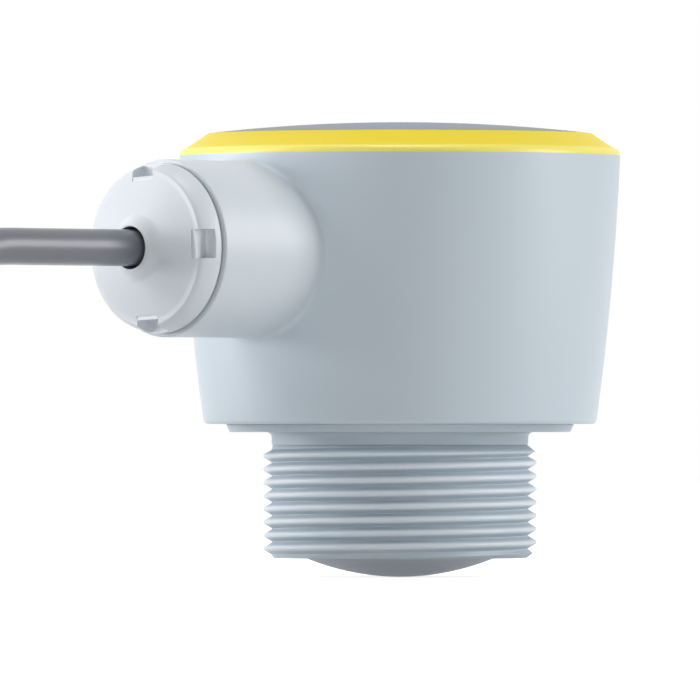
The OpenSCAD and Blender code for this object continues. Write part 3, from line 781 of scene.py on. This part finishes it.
@dataclass
class CableRun:
    """The fixed cable: straight out of the gland, down to a neat coil, and a short free end."""

    diameter: float = 6.3
    coil_r: float = 43.0
    columns: int = 3
    layers: int = 6
    pitch: float = 6.35
    turn_steps: int = 48
    crossing: float = 0.16
    left_off: float = 0.5
    exit_x: float = -63.3
    real_length: float = 4.9

    route: tuple[Point3, ...] = (
        (-33.5, 0, 31.6), (-50, 0, 31.6), (-65, 0, 31.6), (-80, 0, 31.6), (-88, 0, 31.6),
        (-95, 0, 31.6), (-98.5, 0, 31.4), (-102, 0, 30.7), (-105.4, 0, 29.5), (-108.5, 0, 28),
        (-111.4, 0, 26.1), (-114.1, 0, 23.7), (-116.2, 0, 21.3), (-118.4, 0, 18.9),
        (-121.1, 0, 16.5), (-124, 0, 14.6), (-127.2, 0, 13), (-130.5, 0, 11.9), (-134, 0, 11.2),
        (-138, 0, 11),
    )
    tail: tuple[Point3, ...] = (
        (-138, 98.7, -20.8), (-130, 98.7, -21), (-122, 98.7, -21.7), (-114, 98.7, -22.1),
        (-106, 98.7, -22.1),
    )

    def lay(self, turn: int) -> Point:
        """Give a turn's radius and height: layers go down, columns go in and out by turns."""
        layer, place = divmod(turn, self.columns)
        column = place if layer % 2 == 0 else self.columns - 1 - place
        low = box_mm("cable_coil")[0].z
        outer = self.coil_r + self.pitch * (self.columns - 1) / 2
        height = low + self.diameter / 2 + self.pitch * (self.layers - 1 - layer)
        return outer - self.pitch * column, height

    def winding(self) -> list[Point3]:
        """Give the points of the coil, from the end of the route to the start of the tail."""
        low, high = box_mm("cable_coil")
        centre = (low + high) / 2
        turns = self.columns * self.layers - self.left_off
        points = []
        for i in range(1, int(turns * self.turn_steps)):
            done = i / self.turn_steps
            turn = int(done)
            share = smoothstep((done - turn - 1 + self.crossing) / self.crossing)
            here = Vector(self.lay(turn))
            there = Vector(self.lay(min(turn + 1, self.columns * self.layers - 1)))
            radius, height = here.lerp(there, share)
            angle = -math.pi / 2 - math.tau * done
            points.append((
                centre.x + radius * math.cos(angle), centre.y + radius * math.sin(angle), height))
        return points

    def path(self) -> list[Point3]:
        """Give the points of the whole run, from inside the gland to the free end."""
        return [*self.smooth(self.route), *self.winding(), *self.smooth(self.tail)]

    def build(self) -> Object:
        """Sweep the jacket along the whole run."""
        made = swept("cable_run", self.path(), self.diameter / 2, sides=5)
        return show(made, JACKET, ROOT, "cable_jacket", "cable", "cable_coil", "cable_tail")

    @staticmethod
    def smooth(points: Sequence[Point3], steps: int = 4) -> list[Point3]:
        """Add points between those of a route, on one smooth curve through them."""
        knots = [Vector(p) for p in points]
        out: list[Point3] = []
        for i in range(len(knots) - 1):
            a, b = knots[i], knots[i + 1]
            before = knots[i - 1] if i else a * 2 - b
            after = knots[i + 2] if i + 2 < len(knots) else b * 2 - a
            span = (b - a).length
            start = (b - before).normalized() * span
            end = (after - a).normalized() * span
            for k in range(steps):
                t = k / steps
                h = (
                    2 * t**3 - 3 * t**2 + 1, t**3 - 2 * t**2 + t,
                    -2 * t**3 + 3 * t**2, t**3 - t**2)
                out.append(tuple(a * h[0] + start * h[1] + b * h[2] + end * h[3]))
        out.append(tuple(knots[-1]))
        return out


@dataclass
class CableEnd:
    """The free end: two cores with crimped sleeves."""

    core_r: float = 0.9
    collar_r: float = 1.15
    collar_h: float = 2.6
    collar_foot: float = 0.15
    collar_edge: float = 0.3
    sleeve_r: float = 0.7
    sleeve_h: float = 9.0
    sleeve_edge: float = 0.2
    overlap: float = 0.6
    squeeze: float = 0.07
    squeezes: int = 3
    waist_steps: int = 24

    brown: tuple[Point3, ...] = (
        (-106, 99.8, -22.1), (-103, 99.8, -22.3), (-99, 100, -23.2), (-95, 100.3, -23.9),
        (-91, 100.4, -24.1), (-86, 100.4, -24.1),
    )
    blue: tuple[Point3, ...] = (
        (-106, 97.6, -22.1), (-103, 97.5, -22.3), (-99, 96.9, -23.2), (-95, 96.1, -23.9),
        (-91, 95.8, -24.1), (-86, 95.8, -24.1),
    )

    def pair(self, name: str, outline: list[Point]) -> Object:
        """Turn one part of a sleeve and lay it along +X at the end of both cores."""
        made = []
        for at in (self.brown[-1], self.blue[-1]):
            bm = turned(outline, steps=32)
            place = Matrix.Translation(at) @ Matrix.Rotation(math.pi / 2, 4, "Y")
            bmesh.ops.transform(bm, matrix=place, verts=bm.verts)
            made.append(bm)
        return as_object(joined(*made), name)

    def collar(self) -> list[Point]:
        """Give the outline of a plastic collar with rounded ends."""
        r, h, foot, edge = self.collar_r, self.collar_h, self.collar_foot, self.collar_edge
        return [
            (0, 0), *arc((r - foot, foot), foot, -90, 0, 3),
            *arc((r - edge, h - edge), edge, 0, 90, 4), (0, h)]

    def crimp(self) -> list[Point]:
        """Give the outline of a tin sleeve, squeezed in a few places."""
        r, low, high = self.sleeve_r, self.collar_h - self.overlap, self.sleeve_h
        steps, edge = self.waist_steps, self.sleeve_edge
        waist = [
            (r - self.squeeze * (1 - math.cos(math.tau * self.squeezes * t / steps)),
             low + (high - low) * t / steps)
            for t in range(steps)]
        return [(0, low), *waist, *arc((r - edge, high - edge), edge, 0, 90, 3), (0, high)]

    def build(self) -> list[Object]:
        """Make the cores and their sleeves."""
        made = []
        for colour, route in (("brown", self.brown), ("blue", self.blue)):
            core = swept("end_" + colour, CableRun.smooth(route), self.core_r, sides=4)
            slot = "core_" + colour
            made.append(show(core, NODE_FINISHES[slot], ROOT, slot, "end_" + slot))
        collars = self.pair("ferrule_collars", self.collar())
        made.append(show(collars, COLLAR_RED, ROOT, "ferrule_tin", "ferrules"))
        sleeves = self.pair("ferrule_sleeves", self.crimp())
        made.append(show(sleeves, SLEEVE_TIN, ROOT, "ferrule_tin"))
        return made


@dataclass
class CoilTies:
    """Two closed woven straps round the coil."""

    strap_t: float = 1.2
    width: float = 5.0
    gap: float = 0.15
    rim: float = 0.25
    angles: tuple[float, float] = (20.0, 200.0)

    def outline(self, grow: float) -> list[Point]:
        """Give the outline round the bundle, grown by a margin, as offsets from its middle."""
        low, high = box_mm("cable_coil")
        coil = CableRun()
        half_w = coil.pitch * (coil.columns - 1) / 2 + coil.diameter / 2 + grow
        half_h = (high.z - low.z) / 2 + grow
        edge = coil.diameter / 2 + grow
        signs = ((1, -1), (1, 1), (-1, 1), (-1, -1))
        return rounded([(half_w * x, half_h * z, edge) for x, z in signs], 8)

    def strap(self, angle: float) -> Mesh:
        """Make one strap at its place on the coil."""
        low, high = box_mm("cable_coil")
        centre = (low + high) / 2
        bm = bmesh.new()
        loops = []
        for grow in (self.gap, self.gap + self.strap_t):
            verts = [bm.verts.new((x, -self.width / 2, z)) for x, z in self.outline(grow)]
            loops += [bm.edges.new((verts[i - 1], verts[i])) for i in range(len(verts))]
        band = bmesh.ops.bridge_loops(bm, edges=loops)["faces"]
        grown = bmesh.ops.extrude_face_region(bm, geom=band)["geom"]
        bmesh.ops.translate(bm, vec=(0, self.width, 0), verts=points_in(grown))
        close(bm)
        rims = [e for e in bm.edges if len(e.link_faces) == 2 and e.calc_face_angle() > 1]
        bmesh.ops.bevel(
            bm, geom=rims, offset=self.rim, segments=3, profile=0.5, affect="EDGES", material=-1)
        place = (
            Matrix.Translation(centre) @ Matrix.Rotation(math.radians(angle), 4, "Z")
            @ Matrix.Translation((CableRun().coil_r, 0, 0)))
        bmesh.ops.transform(bm, matrix=place, verts=bm.verts)
        return bm

    def build(self) -> list[Object]:
        """Make both straps one piece."""
        made = as_object(joined(*[self.strap(a) for a in self.angles]), "coil_straps")
        return [show(made, STRAP_BLACK, ROOT, "tie_black", "coil_ties")]


# ---- Housing ----

@dataclass
class Housing:
    """Barrel with a bulged side, a boss for the cable gland and a fillet between them."""

    top_r: float = 38.5
    foot_r: float = 34.3
    bulge: float = 0.55
    wall: float = 3.0
    floor_t: float = 4.0
    foot_edge: float = 0.9
    foot_bore_r: float = 24.05
    boss_r: float = 15.3
    boss_edge: float = 0.25
    boss_root: float = 20.0
    fillet_r: float = 1.3
    fillet_proud: float = 0.006
    fillet_sink: float = 3.2
    mouth_r: float = 32.3
    mouth_h: float = 4.0
    bore_r: float = 11.98
    bore_floor: float = 47.3
    bore_lead: float = 0.5
    seat_r: float = 8.5
    hole_r: float = 3.6

    def __post_init__(self) -> None:
        """Work out the barrel's side from the frame's own box."""
        low, high = box_mm("housing")
        self.foot_z, self.top_z, self.reach = low.z, high.z, -low.x
        self.boss_z = Axis.BOSS.place().translation.z
        rise, run = self.top_z - self.foot_z, self.top_r - self.foot_r
        lean = math.atan2(run, rise)
        self.side_arc = (rise**2 + run**2) / (8 * self.bulge) + self.bulge / 2
        away = self.side_arc - self.bulge
        self.side_c = (
            (self.top_r + self.foot_r) / 2 - away * math.cos(lean),
            (self.foot_z + self.top_z) / 2 + away * math.sin(lean))

    def side_r(self, z: float, off: float = 0.0) -> float:
        """Give the radius of the side at a height, for a skin that lies off outside it."""
        return self.side_c[0] + math.sqrt((self.side_arc + off) ** 2 - (z - self.side_c[1]) ** 2)

    def barrel(self) -> list[Point]:
        """Give the barrel's outer outline, from the axis at its foot to the axis at its top."""
        edge_z = self.foot_z + self.foot_edge
        edge_r = self.side_r(edge_z, -self.foot_edge)
        first = math.degrees(math.atan2(edge_z - self.side_c[1], edge_r - self.side_c[0]))
        last = math.degrees(math.asin((self.top_z - self.side_c[1]) / self.side_arc))
        foot = arc((edge_r, edge_z), self.foot_edge, -90, first, 8)[:-1]
        side = arc(self.side_c, self.side_arc, first, last, 40)
        return [(0, self.foot_z), *foot, *side, (0, self.top_z)]

    def hollow(self) -> list[Point]:
        """Give the outline of the room inside, with the mouth and the bore in the floor."""
        floor_top, shelf = self.foot_z + self.floor_t, self.top_z - self.mouth_h
        below, above = self.foot_z - PAST, self.top_z + PAST
        return [
            (0, below), (self.foot_bore_r, below), (self.foot_bore_r, floor_top),
            (self.side_r(floor_top) - self.wall, floor_top),
            (self.side_r(shelf) - self.wall, shelf), (self.mouth_r, shelf),
            (self.mouth_r, above), (0, above)]

    def boss(self, steps: int = 24) -> list[Point]:
        """Give the boss's outline along its axis."""
        r, e, root, end = self.boss_r, self.boss_edge, self.boss_root, self.reach
        side = [(r, root + (end - e - root) * i / steps) for i in range(steps)]
        return [(0, root), *side, *arc((r - e, end - e), e, 0, 90, 6), (0, end)]

    def gland_bore(self) -> list[Point]:
        """Give the outline of the bore, from the hole in the wall to the mouth."""
        seat, lead = self.side_r(self.boss_z), self.bore_lead
        inside, outside = seat - self.wall - 2 * PAST, self.reach + PAST
        return [
            (0, inside), (self.hole_r, inside), (self.hole_r, seat), (self.seat_r, seat),
            (self.seat_r, self.bore_floor), (self.bore_r, self.bore_floor),
            (self.bore_r, self.reach - lead), (self.bore_r + lead, self.reach),
            (self.bore_r + lead + PAST, outside), (0, outside)]

    def fillet_point(self, turn: float, share: float) -> Vector:
        """Give a point of the fillet, which a ball rolling in the corner leaves.

        Args:
            turn: The angle round the boss.
            share: 0 on the boss, 1 on the barrel.

        Returns:
            The point, in millimetres.
        """
        f = self.fillet_r
        around = Vector((0, math.cos(turn), math.sin(turn)))
        y = (self.boss_r + f) * around.y
        z = self.boss_z + (self.boss_r + f) * around.z
        reach = self.side_r(z, f)
        ball = Vector((-math.sqrt(reach**2 - y**2), y, z))
        slope = reach - self.side_c[0]
        out = Vector((slope * ball.x / reach, slope * ball.y / reach, z - self.side_c[1]))
        return ball + (-around).slerp(-out.normalized(), share) * (f + self.fillet_proud)

    def fillet(self, around: int = 192, steps: int = 8) -> Mesh:
        """Sweep the fillet round the boss, closed below the two skins that it joins."""
        bm = bmesh.new()
        angle = bm.verts.layers.float.new("turn")
        for vert in bmesh.ops.create_circle(bm, segments=around, radius=1)["verts"]:
            vert[angle] = math.atan2(vert.co.y, vert.co.x)
            vert.co = self.fillet_point(vert[angle], 0)
        first = edges = bm.edges[:]
        for i in range(1, steps + 2):
            grown = bmesh.ops.extrude_edge_only(bm, edges=edges)["geom"]
            edges = [
                e for e in grown if isinstance(e, bmesh.types.BMEdge) and not e.is_manifold
                and all(v in grown for v in e.verts)]
            for vert in points_in(grown):
                if i <= steps:
                    vert.co = self.fillet_point(vert[angle], i / steps)
                    continue
                low, middle, high = (self.fillet_point(vert[angle], s) for s in (0, 0.5, 1))
                vert.co = middle + ((low + high) / 2 - middle) * -self.fillet_sink
        bmesh.ops.bridge_loops(bm, edges=first + edges)
        close(bm)
        return bm

    def build(self) -> Object:
        """Make the housing."""
        boss = turned(self.boss(), Axis.BOSS, steps=144)
        solid = carved(turned(self.barrel(), steps=256), [boss], "UNION")
        solid = carved(solid, [turned(self.hollow()), turned(self.gland_bore(), Axis.BOSS)])
        made = as_object(joined(solid, self.fillet()), "housing_shell")
        # The finish paints the boss paler: painted light.
        return show(made, HOUSING_GREY, ROOT, "housing_plastic", "housing")


@dataclass
class TopClosure:
    """Marker ring and domed lid."""

    top_r: float = 38.5
    ring_h: float = 3.9
    band_h: float = 1.25
    band_in: float = 1.1
    band_steps: int = 10
    bore_r: float = 33.4
    mouth_r: float = 32.3
    lip_h: float = 1.2
    edge: float = 0.12
    edge_place: Point = (1.2, 1.3)
    lid_play: float = 0.12
    lid_edge: Point = (0.05, 0.1)
    skirt_t: float = 3.2
    skirt_play: float = 0.1
    bead_w: float = 0.5
    bead_h: float = 0.8
    bead_slant: float = 0.2
    bead_bevel: Point = (0.4, 0.3)
    groove_low: float = 2.0
    groove_d: float = 1.3
    groove_w: float = 1.8

    def __post_init__(self) -> None:
        """Take the heights from the frame."""
        self.low = box_mm("marker_ring")[0].z
        self.top = self.low + self.ring_h
        self.lid_low, self.dome = box_mm("lid")[0].z, box_mm("lid")[1].z

    def ring(self) -> list[Point]:
        """Give the ring's outline: a rounded band, then a cone in to the lid."""
        lip, e = self.low + self.lip_h, self.edge
        turns = [math.pi / 2 * i / self.band_steps for i in range(self.band_steps + 1)]
        band = [
            (self.top_r - self.band_in * (1 - math.cos(a)), self.low + self.band_h * math.sin(a))
            for a in turns]
        knee = band[-1]
        cone = math.degrees(math.atan2(self.bore_r - knee[0], self.top - knee[1]))
        middle = (self.bore_r + e * self.edge_place[0], self.top - e * self.edge_place[1])
        rim = arc(middle, e, 90 - cone - 45, 180, 4)
        return [(self.mouth_r, self.low), *band, *rim, (self.bore_r, lip), (self.mouth_r, lip)]

    def lid(self) -> list[Point]:
        """Give the lid's outline: dome, edge, ledge and the skirt with its groove and bead."""
        r = self.bore_r - self.lid_play
        rise = self.dome - self.top
        ball = (r * r + rise * rise) / (2 * rise)
        last = math.degrees(math.acos(r / ball))
        dome = arc((0, self.dome - ball), ball, 90, last, 40)[:-1]
        lip, skirt = self.low + self.lip_h, self.mouth_r - self.skirt_play
        groove, half = self.low - self.groove_low, self.groove_w / 2
        bottom, bead = self.lid_low, skirt + self.bead_w
        return [
            *dome, (r - self.lid_edge[0], self.top), (r, self.top - self.lid_edge[1]),
            (r, lip), (skirt, lip),
            (skirt, groove + half), (skirt - self.groove_d, groove + half),
            (skirt - self.groove_d, groove - half), (skirt, groove - half),
            (skirt, bottom + self.bead_h), (bead, bottom + self.bead_h - self.bead_slant),
            (bead, bottom + self.bead_bevel[1]), (bead - self.bead_bevel[0], bottom),
            (skirt - self.skirt_t, bottom), (skirt - self.skirt_t, lip), (0, lip)]

    def build(self) -> list[Object]:
        """Make the ring and the lid."""
        ring = as_object(turned(self.ring(), steps=256), "ring_band", sharp=60)
        show(ring, RING_YELLOW, ROOT, "ring_yellow", "marker_ring")
        # The round band gets the paler yellow, a painted highlight.
        line(ring, BAND_HIGHLIGHT_YELLOW, self.on_band)
        lid = as_object(turned(self.lid(), steps=256), "lid_dome")
        return [ring, show(lid, LID_GREY, ROOT, "lid_grey", "lid")]

    def on_band(self, place: Vector) -> bool:
        """Say whether a place, in metres, is on the round band under the ring's cone."""
        top, inside = (self.low + self.band_h) * MM, (self.bore_r + 1) * MM
        return place.z < top and place.xy.length > inside


@dataclass
class GlandCap:
    """Screw cap of the cable gland, with spanner notches and a nose round the cable."""

    rim_r: float = 14.65
    face_r: float = 13.6
    rim_h: float = 4.15
    rim_trim: Point = (2.0, 3.0)
    edge: float = 0.3
    foot_in: float = 0.12
    spigot_r: float = 11.9
    spigot_h: float = 9.2
    spigot_lead: float = 0.5
    grooves: int = 5
    groove_d: float = 0.55
    groove_gap: float = 1.2
    groove_end: float = 0.1
    ridge_in: float = 0.02
    hole_r: float = 3.6
    seal_and_shade_lining: float = 0.1
    bell_r: float = 12.6
    bell_steps: int = 28
    lip_r: float = 0.3
    neck_r: float = 6.0
    neck_h: float = 1.2
    notches: int = 4
    notch_w: float = 5.0
    notch_floor_r: float = 12.3
    notch_h: float = 2.8
    notch_fillet: float = 0.4
    pad_r: float = 11.6
    turn: float = 2.7
    softness: float = 0.22
    soft_angle: float = 50.0

    def __post_init__(self) -> None:
        """Take the places along the boss from the frame."""
        low, high = box_mm("gland_cap")
        self.nose, self.inner = -low.x, -high.x
        self.back = self.inner + self.spigot_h
        self.front = self.back + self.rim_h
        self.lip_out = self.hole_r + self.lip_r

    def spigot(self) -> list[Point]:
        """Give the outline of the spigot, with shallow grooves for its thread."""
        first, last = self.inner + self.spigot_lead, self.back - self.groove_gap
        step = (last - first) / self.grooves
        ridge, floor = self.spigot_r - self.ridge_in, self.spigot_r - self.groove_d
        profile = ((ridge, 0.25), (floor, 0.6), (ridge, 0.95))
        thread = [
            (r, first + (last - first) * i / self.grooves + share * step)
            for i in range(self.grooves) for r, share in profile]
        return [
            (self.hole_r, self.inner), (self.spigot_r - self.spigot_lead, self.inner),
            (self.spigot_r, first), *thread, (self.spigot_r, last + self.groove_end),
            (self.spigot_r, self.back)]

    def outline(self) -> list[Point]:
        """Give the cap's outline, a closed loop from the hole's inner end round to its lip."""
        slope = 2 * math.atan2(self.rim_r - self.face_r, self.rim_h)
        barrel, lean = self.rim_h / math.sin(slope), math.degrees(slope)
        width, (first, last) = self.bell_r - self.hole_r - self.lip_r, self.rim_trim
        radii = [self.bell_r - width * i / self.bell_steps for i in range(self.bell_steps + 1)]
        return [
            *self.spigot(), (self.rim_r - self.foot_in, self.back),
            *arc((self.rim_r - barrel, self.back), barrel, first, lean - last, 8),
            *arc((self.face_r - self.edge, self.front - self.edge), self.edge, lean, 90, 4),
            *[(r, self.front + self.swell(r)) for r in radii],
            *arc((self.lip_out, self.nose - self.lip_r), self.lip_r, 90, 180, 6)]

    def swell(self, r: float) -> float:
        """Give the face's height above the rim: a shallow cone with a neck at the hole."""
        rise = self.nose - self.front
        neck = 1 - smoothstep((r - self.hole_r - self.lip_r) / (self.neck_r - self.lip_out))
        cone = (self.bell_r - r) / (self.bell_r - self.hole_r - self.lip_r)
        return self.neck_h * neck + (rise - self.neck_h) * cone

    def block(self, i: int, floor: float, low: float, fillet: float) -> Mesh:
        """Make a block that cuts into the rim.

        Args:
            i: Which of the notches it is for.
            floor: How far out from the axis it starts.
            low: How far along the boss it starts.
            fillet: The round along its inner corner, or 0 for none.

        Returns:
            The block, in millimetres and in place.
        """
        bm = bmesh.new()
        bmesh.ops.create_cube(bm, size=1)
        corner = [e for e in bm.edges if all(v.co.x < 0 and v.co.z < 0 for v in e.verts)]
        far, deep = self.rim_r + 2 * PAST - floor, self.nose + 2 * PAST - low
        bmesh.ops.scale(bm, vec=(far, self.notch_w, deep), verts=bm.verts)
        if fillet > 0:
            bmesh.ops.bevel(
                bm, geom=corner, offset=fillet, segments=4, profile=0.5, affect="EDGES")
        bmesh.ops.translate(bm, vec=(floor + far / 2, 0, low + deep / 2), verts=bm.verts)
        spun = Matrix.Rotation(math.radians(self.turn + 360 * i / self.notches), 3, "Z")
        bmesh.ops.rotate(bm, matrix=spun, verts=bm.verts)
        bmesh.ops.transform(bm, matrix=Axis.BOSS.place(), verts=bm.verts)
        return bm

    def notch(self, i: int) -> list[Mesh]:
        """Make what cuts one notch: the slot, and the flat pad that it opens on to."""
        return [
            self.block(i, self.notch_floor_r, self.front - self.notch_h, self.notch_fillet),
            self.block(i, self.pad_r, self.front, 0)]

    def build(self) -> Object:
        """Make the cap; its hole is lined with the seal's black rubber, which also stands in as
        painted shade in the gap round the cable.
        """
        tools = [tool for i in range(self.notches) for tool in self.notch(i)]
        solid = carved(turned(self.outline(), Axis.BOSS, steps=180), tools)
        made = as_object(solid, "gland_nut", sharp=25)
        soft = made.modifiers.new("edges", "BEVEL")
        soft.width, soft.segments, soft.limit_method = self.softness * MM, 2, "ANGLE"
        soft.angle_limit = math.radians(self.soft_angle)
        show(made, CAP_GREY, "gland_cap", "housing_plastic", "gland_cap")
        # The hole's wall is painted the seal's black: partly the rubber seal, partly painted shade
        # in the gap round the cable.
        axis, seal_and_shade_reach = Axis.BOSS.place().translation * MM, (self.hole_r + self.seal_and_shade_lining) * MM
        line(made, SEAL_BLACK, lambda place: (place - axis).yz.length < seal_and_shade_reach)
        return made


# ---- Process fitting ----

@dataclass
class ProcessFitting:
    """Flange, neck, pipe thread and lens in one moulding, with the spigot inside the housing."""

    flange_r: float = 30.4
    flange_taper: float = 0.6
    flange_t: float = 1.4
    flange_edge: float = 0.15
    flange_rim: float = 0.1
    thread_r: float = 23.9015
    pitch: float = 2.309
    depth_share: float = 0.640327
    neck_h: float = 2.4
    thread_h: float = 19.6
    crest_round: float = 0.42
    flank_lean: float = 29.5
    runout: float = 1.4
    runout_over: float = 0.3
    chamfer_in: float = 0.25
    crest_free: float = 0.1
    sunk: float = 0.45
    cut_low: float = 0.01
    cut_high: float = 0.35
    spare_turns: int = 2
    neck_fillet: float = 1.0
    neck_lap: float = 0.2
    core_in: float = 0.6
    lens_r: float = 16.6
    lens_t: float = 5.0
    spigot_r: float = 24.0
    spigot_edge: float = 0.4
    bore_r: float = 18.5
    ledge_z: float = -6.0
    ledge_r: float = 16.0
    groove_up: float = 2.1
    groove_d: float = 1.25
    groove_w: float = 1.8
    crest_turn: float = -5.062
    turn_steps: int = 96

    def __post_init__(self) -> None:
        """Work out the thread's depth, and take the heights from the frame."""
        low, high = box_mm("antenna_fitting")
        self.lens_z, self.spigot_top = low.z, high.z
        self.depth = self.depth_share * self.pitch
        self.root_r = self.thread_r - self.depth
        self.end_z = -self.neck_h - self.thread_h

    def body(self) -> list[Point]:
        """Give the outline of all but the thread's crests, solid to the axis."""
        rise = self.end_z - self.lens_z
        ball = (self.lens_r**2 + rise**2) / (2 * rise)
        reach = math.degrees(math.asin(self.lens_r / ball))
        lens = arc((0, self.lens_z + ball), ball, -90, -90 + reach, 32)
        core, neck_low = self.root_r - self.core_in, -self.neck_h + self.neck_lap
        shoulder = rounded([
            (core, self.end_z, 0), (core, neck_low, 0), (self.root_r, neck_low, 0),
            (self.root_r, 0, self.neck_fillet),
            (self.flange_r - self.flange_taper, 0, self.flange_edge),
            (self.flange_r, self.flange_t, self.flange_rim), (self.spigot_r, self.flange_t, 0),
            (0, self.flange_t, 0)], 8)
        groove, half = self.flange_t + self.groove_up, self.groove_w / 2
        floor, e = self.spigot_r - self.groove_d, self.spigot_edge
        spigot = [
            (self.spigot_r, groove - half), (floor, groove - half), (floor, groove + half),
            (self.spigot_r, groove + half), (self.spigot_r, self.spigot_top - e),
            (self.spigot_r - e, self.spigot_top), (0, self.spigot_top)]
        return [*lens, *shoulder[:-1], *spigot]

    def room(self) -> list[Point]:
        """Give the outline of the room above the lens."""
        floor, above = self.end_z + self.lens_t, self.spigot_top + PAST
        return [
            (0, floor), (self.ledge_r, floor), (self.ledge_r, self.ledge_z),
            (self.bore_r, self.ledge_z), (self.bore_r, above), (0, above)]

    def tooth(self) -> list[Point]:
        """Give one pitch of the thread's profile: round crest, narrow flat root at both ends."""
        r, flank = self.crest_round, 90 - self.flank_lean
        lean = math.radians(self.flank_lean)
        half = r * math.cos(lean) + (self.depth - r * (1 - math.sin(lean))) * math.tan(lean)
        land = self.pitch / 2 - half
        return [
            (self.root_r, 0), (self.root_r, land),
            *arc((self.thread_r - r, self.pitch / 2), r, -flank, flank, 8),
            (self.root_r, self.pitch - land), (self.root_r, self.pitch)]

    def reach_at(self, z: float) -> float:
        """Give how far out the thread may stand: run out at the neck, chamfered at the end."""
        top, end = -self.neck_h - z, z - self.end_z
        slope = (self.depth + self.runout_over) / self.runout
        chamfer = end * slope - self.chamfer_in if end > 0 else -self.sunk
        rise = min(top * slope, chamfer, self.depth + self.crest_free)
        return self.root_r + max(rise, -self.sunk)

    def thread(self) -> Mesh:
        """Wind the profile up the rod, cut it level at both ends and run it out."""
        turns = math.ceil(self.thread_h / self.pitch) + self.spare_turns + 1
        crest = (self.crest_turn - self.pitch / 2) % self.pitch
        low = (
            math.floor(self.end_z / self.pitch) * self.pitch + crest
            - self.spare_turns * self.pitch)
        bm = bmesh.new()
        verts = [bm.verts.new((r, 0, z + low)) for r, z in self.tooth()]
        edges = [bm.edges.new(pair) for pair in zip(verts, verts[1:])]
        bmesh.ops.spin(
            bm, geom=verts + edges, cent=(0, 0, 0), axis=(0, 0, 1),
            dvec=(0, 0, self.pitch / self.turn_steps), angle=math.tau,
            steps=self.turn_steps, use_merge=False, use_duplicate=False)
        first = bm.verts[:] + bm.edges[:] + bm.faces[:]
        for turn in range(1, turns):
            copied = bmesh.ops.duplicate(bm, geom=first)["geom"]
            bmesh.ops.translate(bm, vec=(0, 0, self.pitch * turn), verts=points_in(copied))
        bmesh.ops.remove_doubles(bm, verts=bm.verts, dist=1e-4)
        ends = ((self.end_z + self.cut_low, -1), (-self.neck_h + self.cut_high, 1))
        for height, side in ends:
            cut = bmesh.ops.bisect_plane(
                bm, geom=bm.verts[:] + bm.edges[:] + bm.faces[:], plane_co=(0, 0, height),
                plane_no=(0, 0, side), clear_outer=True)["geom_cut"]
            rim = [e for e in cut if isinstance(e, bmesh.types.BMEdge)]
            bmesh.ops.holes_fill(bm, edges=rim, sides=0)
        for vert in bm.verts:
            out = vert.co.xy.length
            limit = self.reach_at(vert.co.z)
            if out > limit:
                vert.co.xy *= limit / out
        close(bm)
        return bm

    def build(self) -> Object:
        """Make the fitting."""
        solid = carved(turned(self.body(), steps=192), [self.thread()], "UNION")
        made = as_object(carved(solid, [turned(self.room())]), "fitting_moulding", sharp=40)
        # The finish paints a paler highlight on the thread's crests.
        return show(made, FITTING_GREY, ROOT, "fitting_plastic", "antenna_fitting")


# ---- All together ----

def report(made: Object) -> None:
    """Log a piece and how fine its mesh is."""
    bm = settled(made)
    log.info("%s: %d triangles", made.name, len(bm.calc_loop_triangles()))
    bm.free()


def main() -> None:
    """Build the studio and every piece, camera and cable first."""
    logging.basicConfig(level=logging.INFO, format="%(name)s: %(message)s")
    Studio().build()
    cable = CableRun()
    jacket = cable.build()
    on_cable = [*CoilTies().build(), *CableEnd().build()]
    pieces = [
        jacket, *on_cable, Housing().build(), *TopClosure().build(), GlandCap().build(),
        ProcessFitting().build()]
    for name, finish in NODE_FINISHES.items():
        dress(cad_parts[name], finish)
    for made in pieces:
        report(made)


if __name__ == "__main__":
    main()
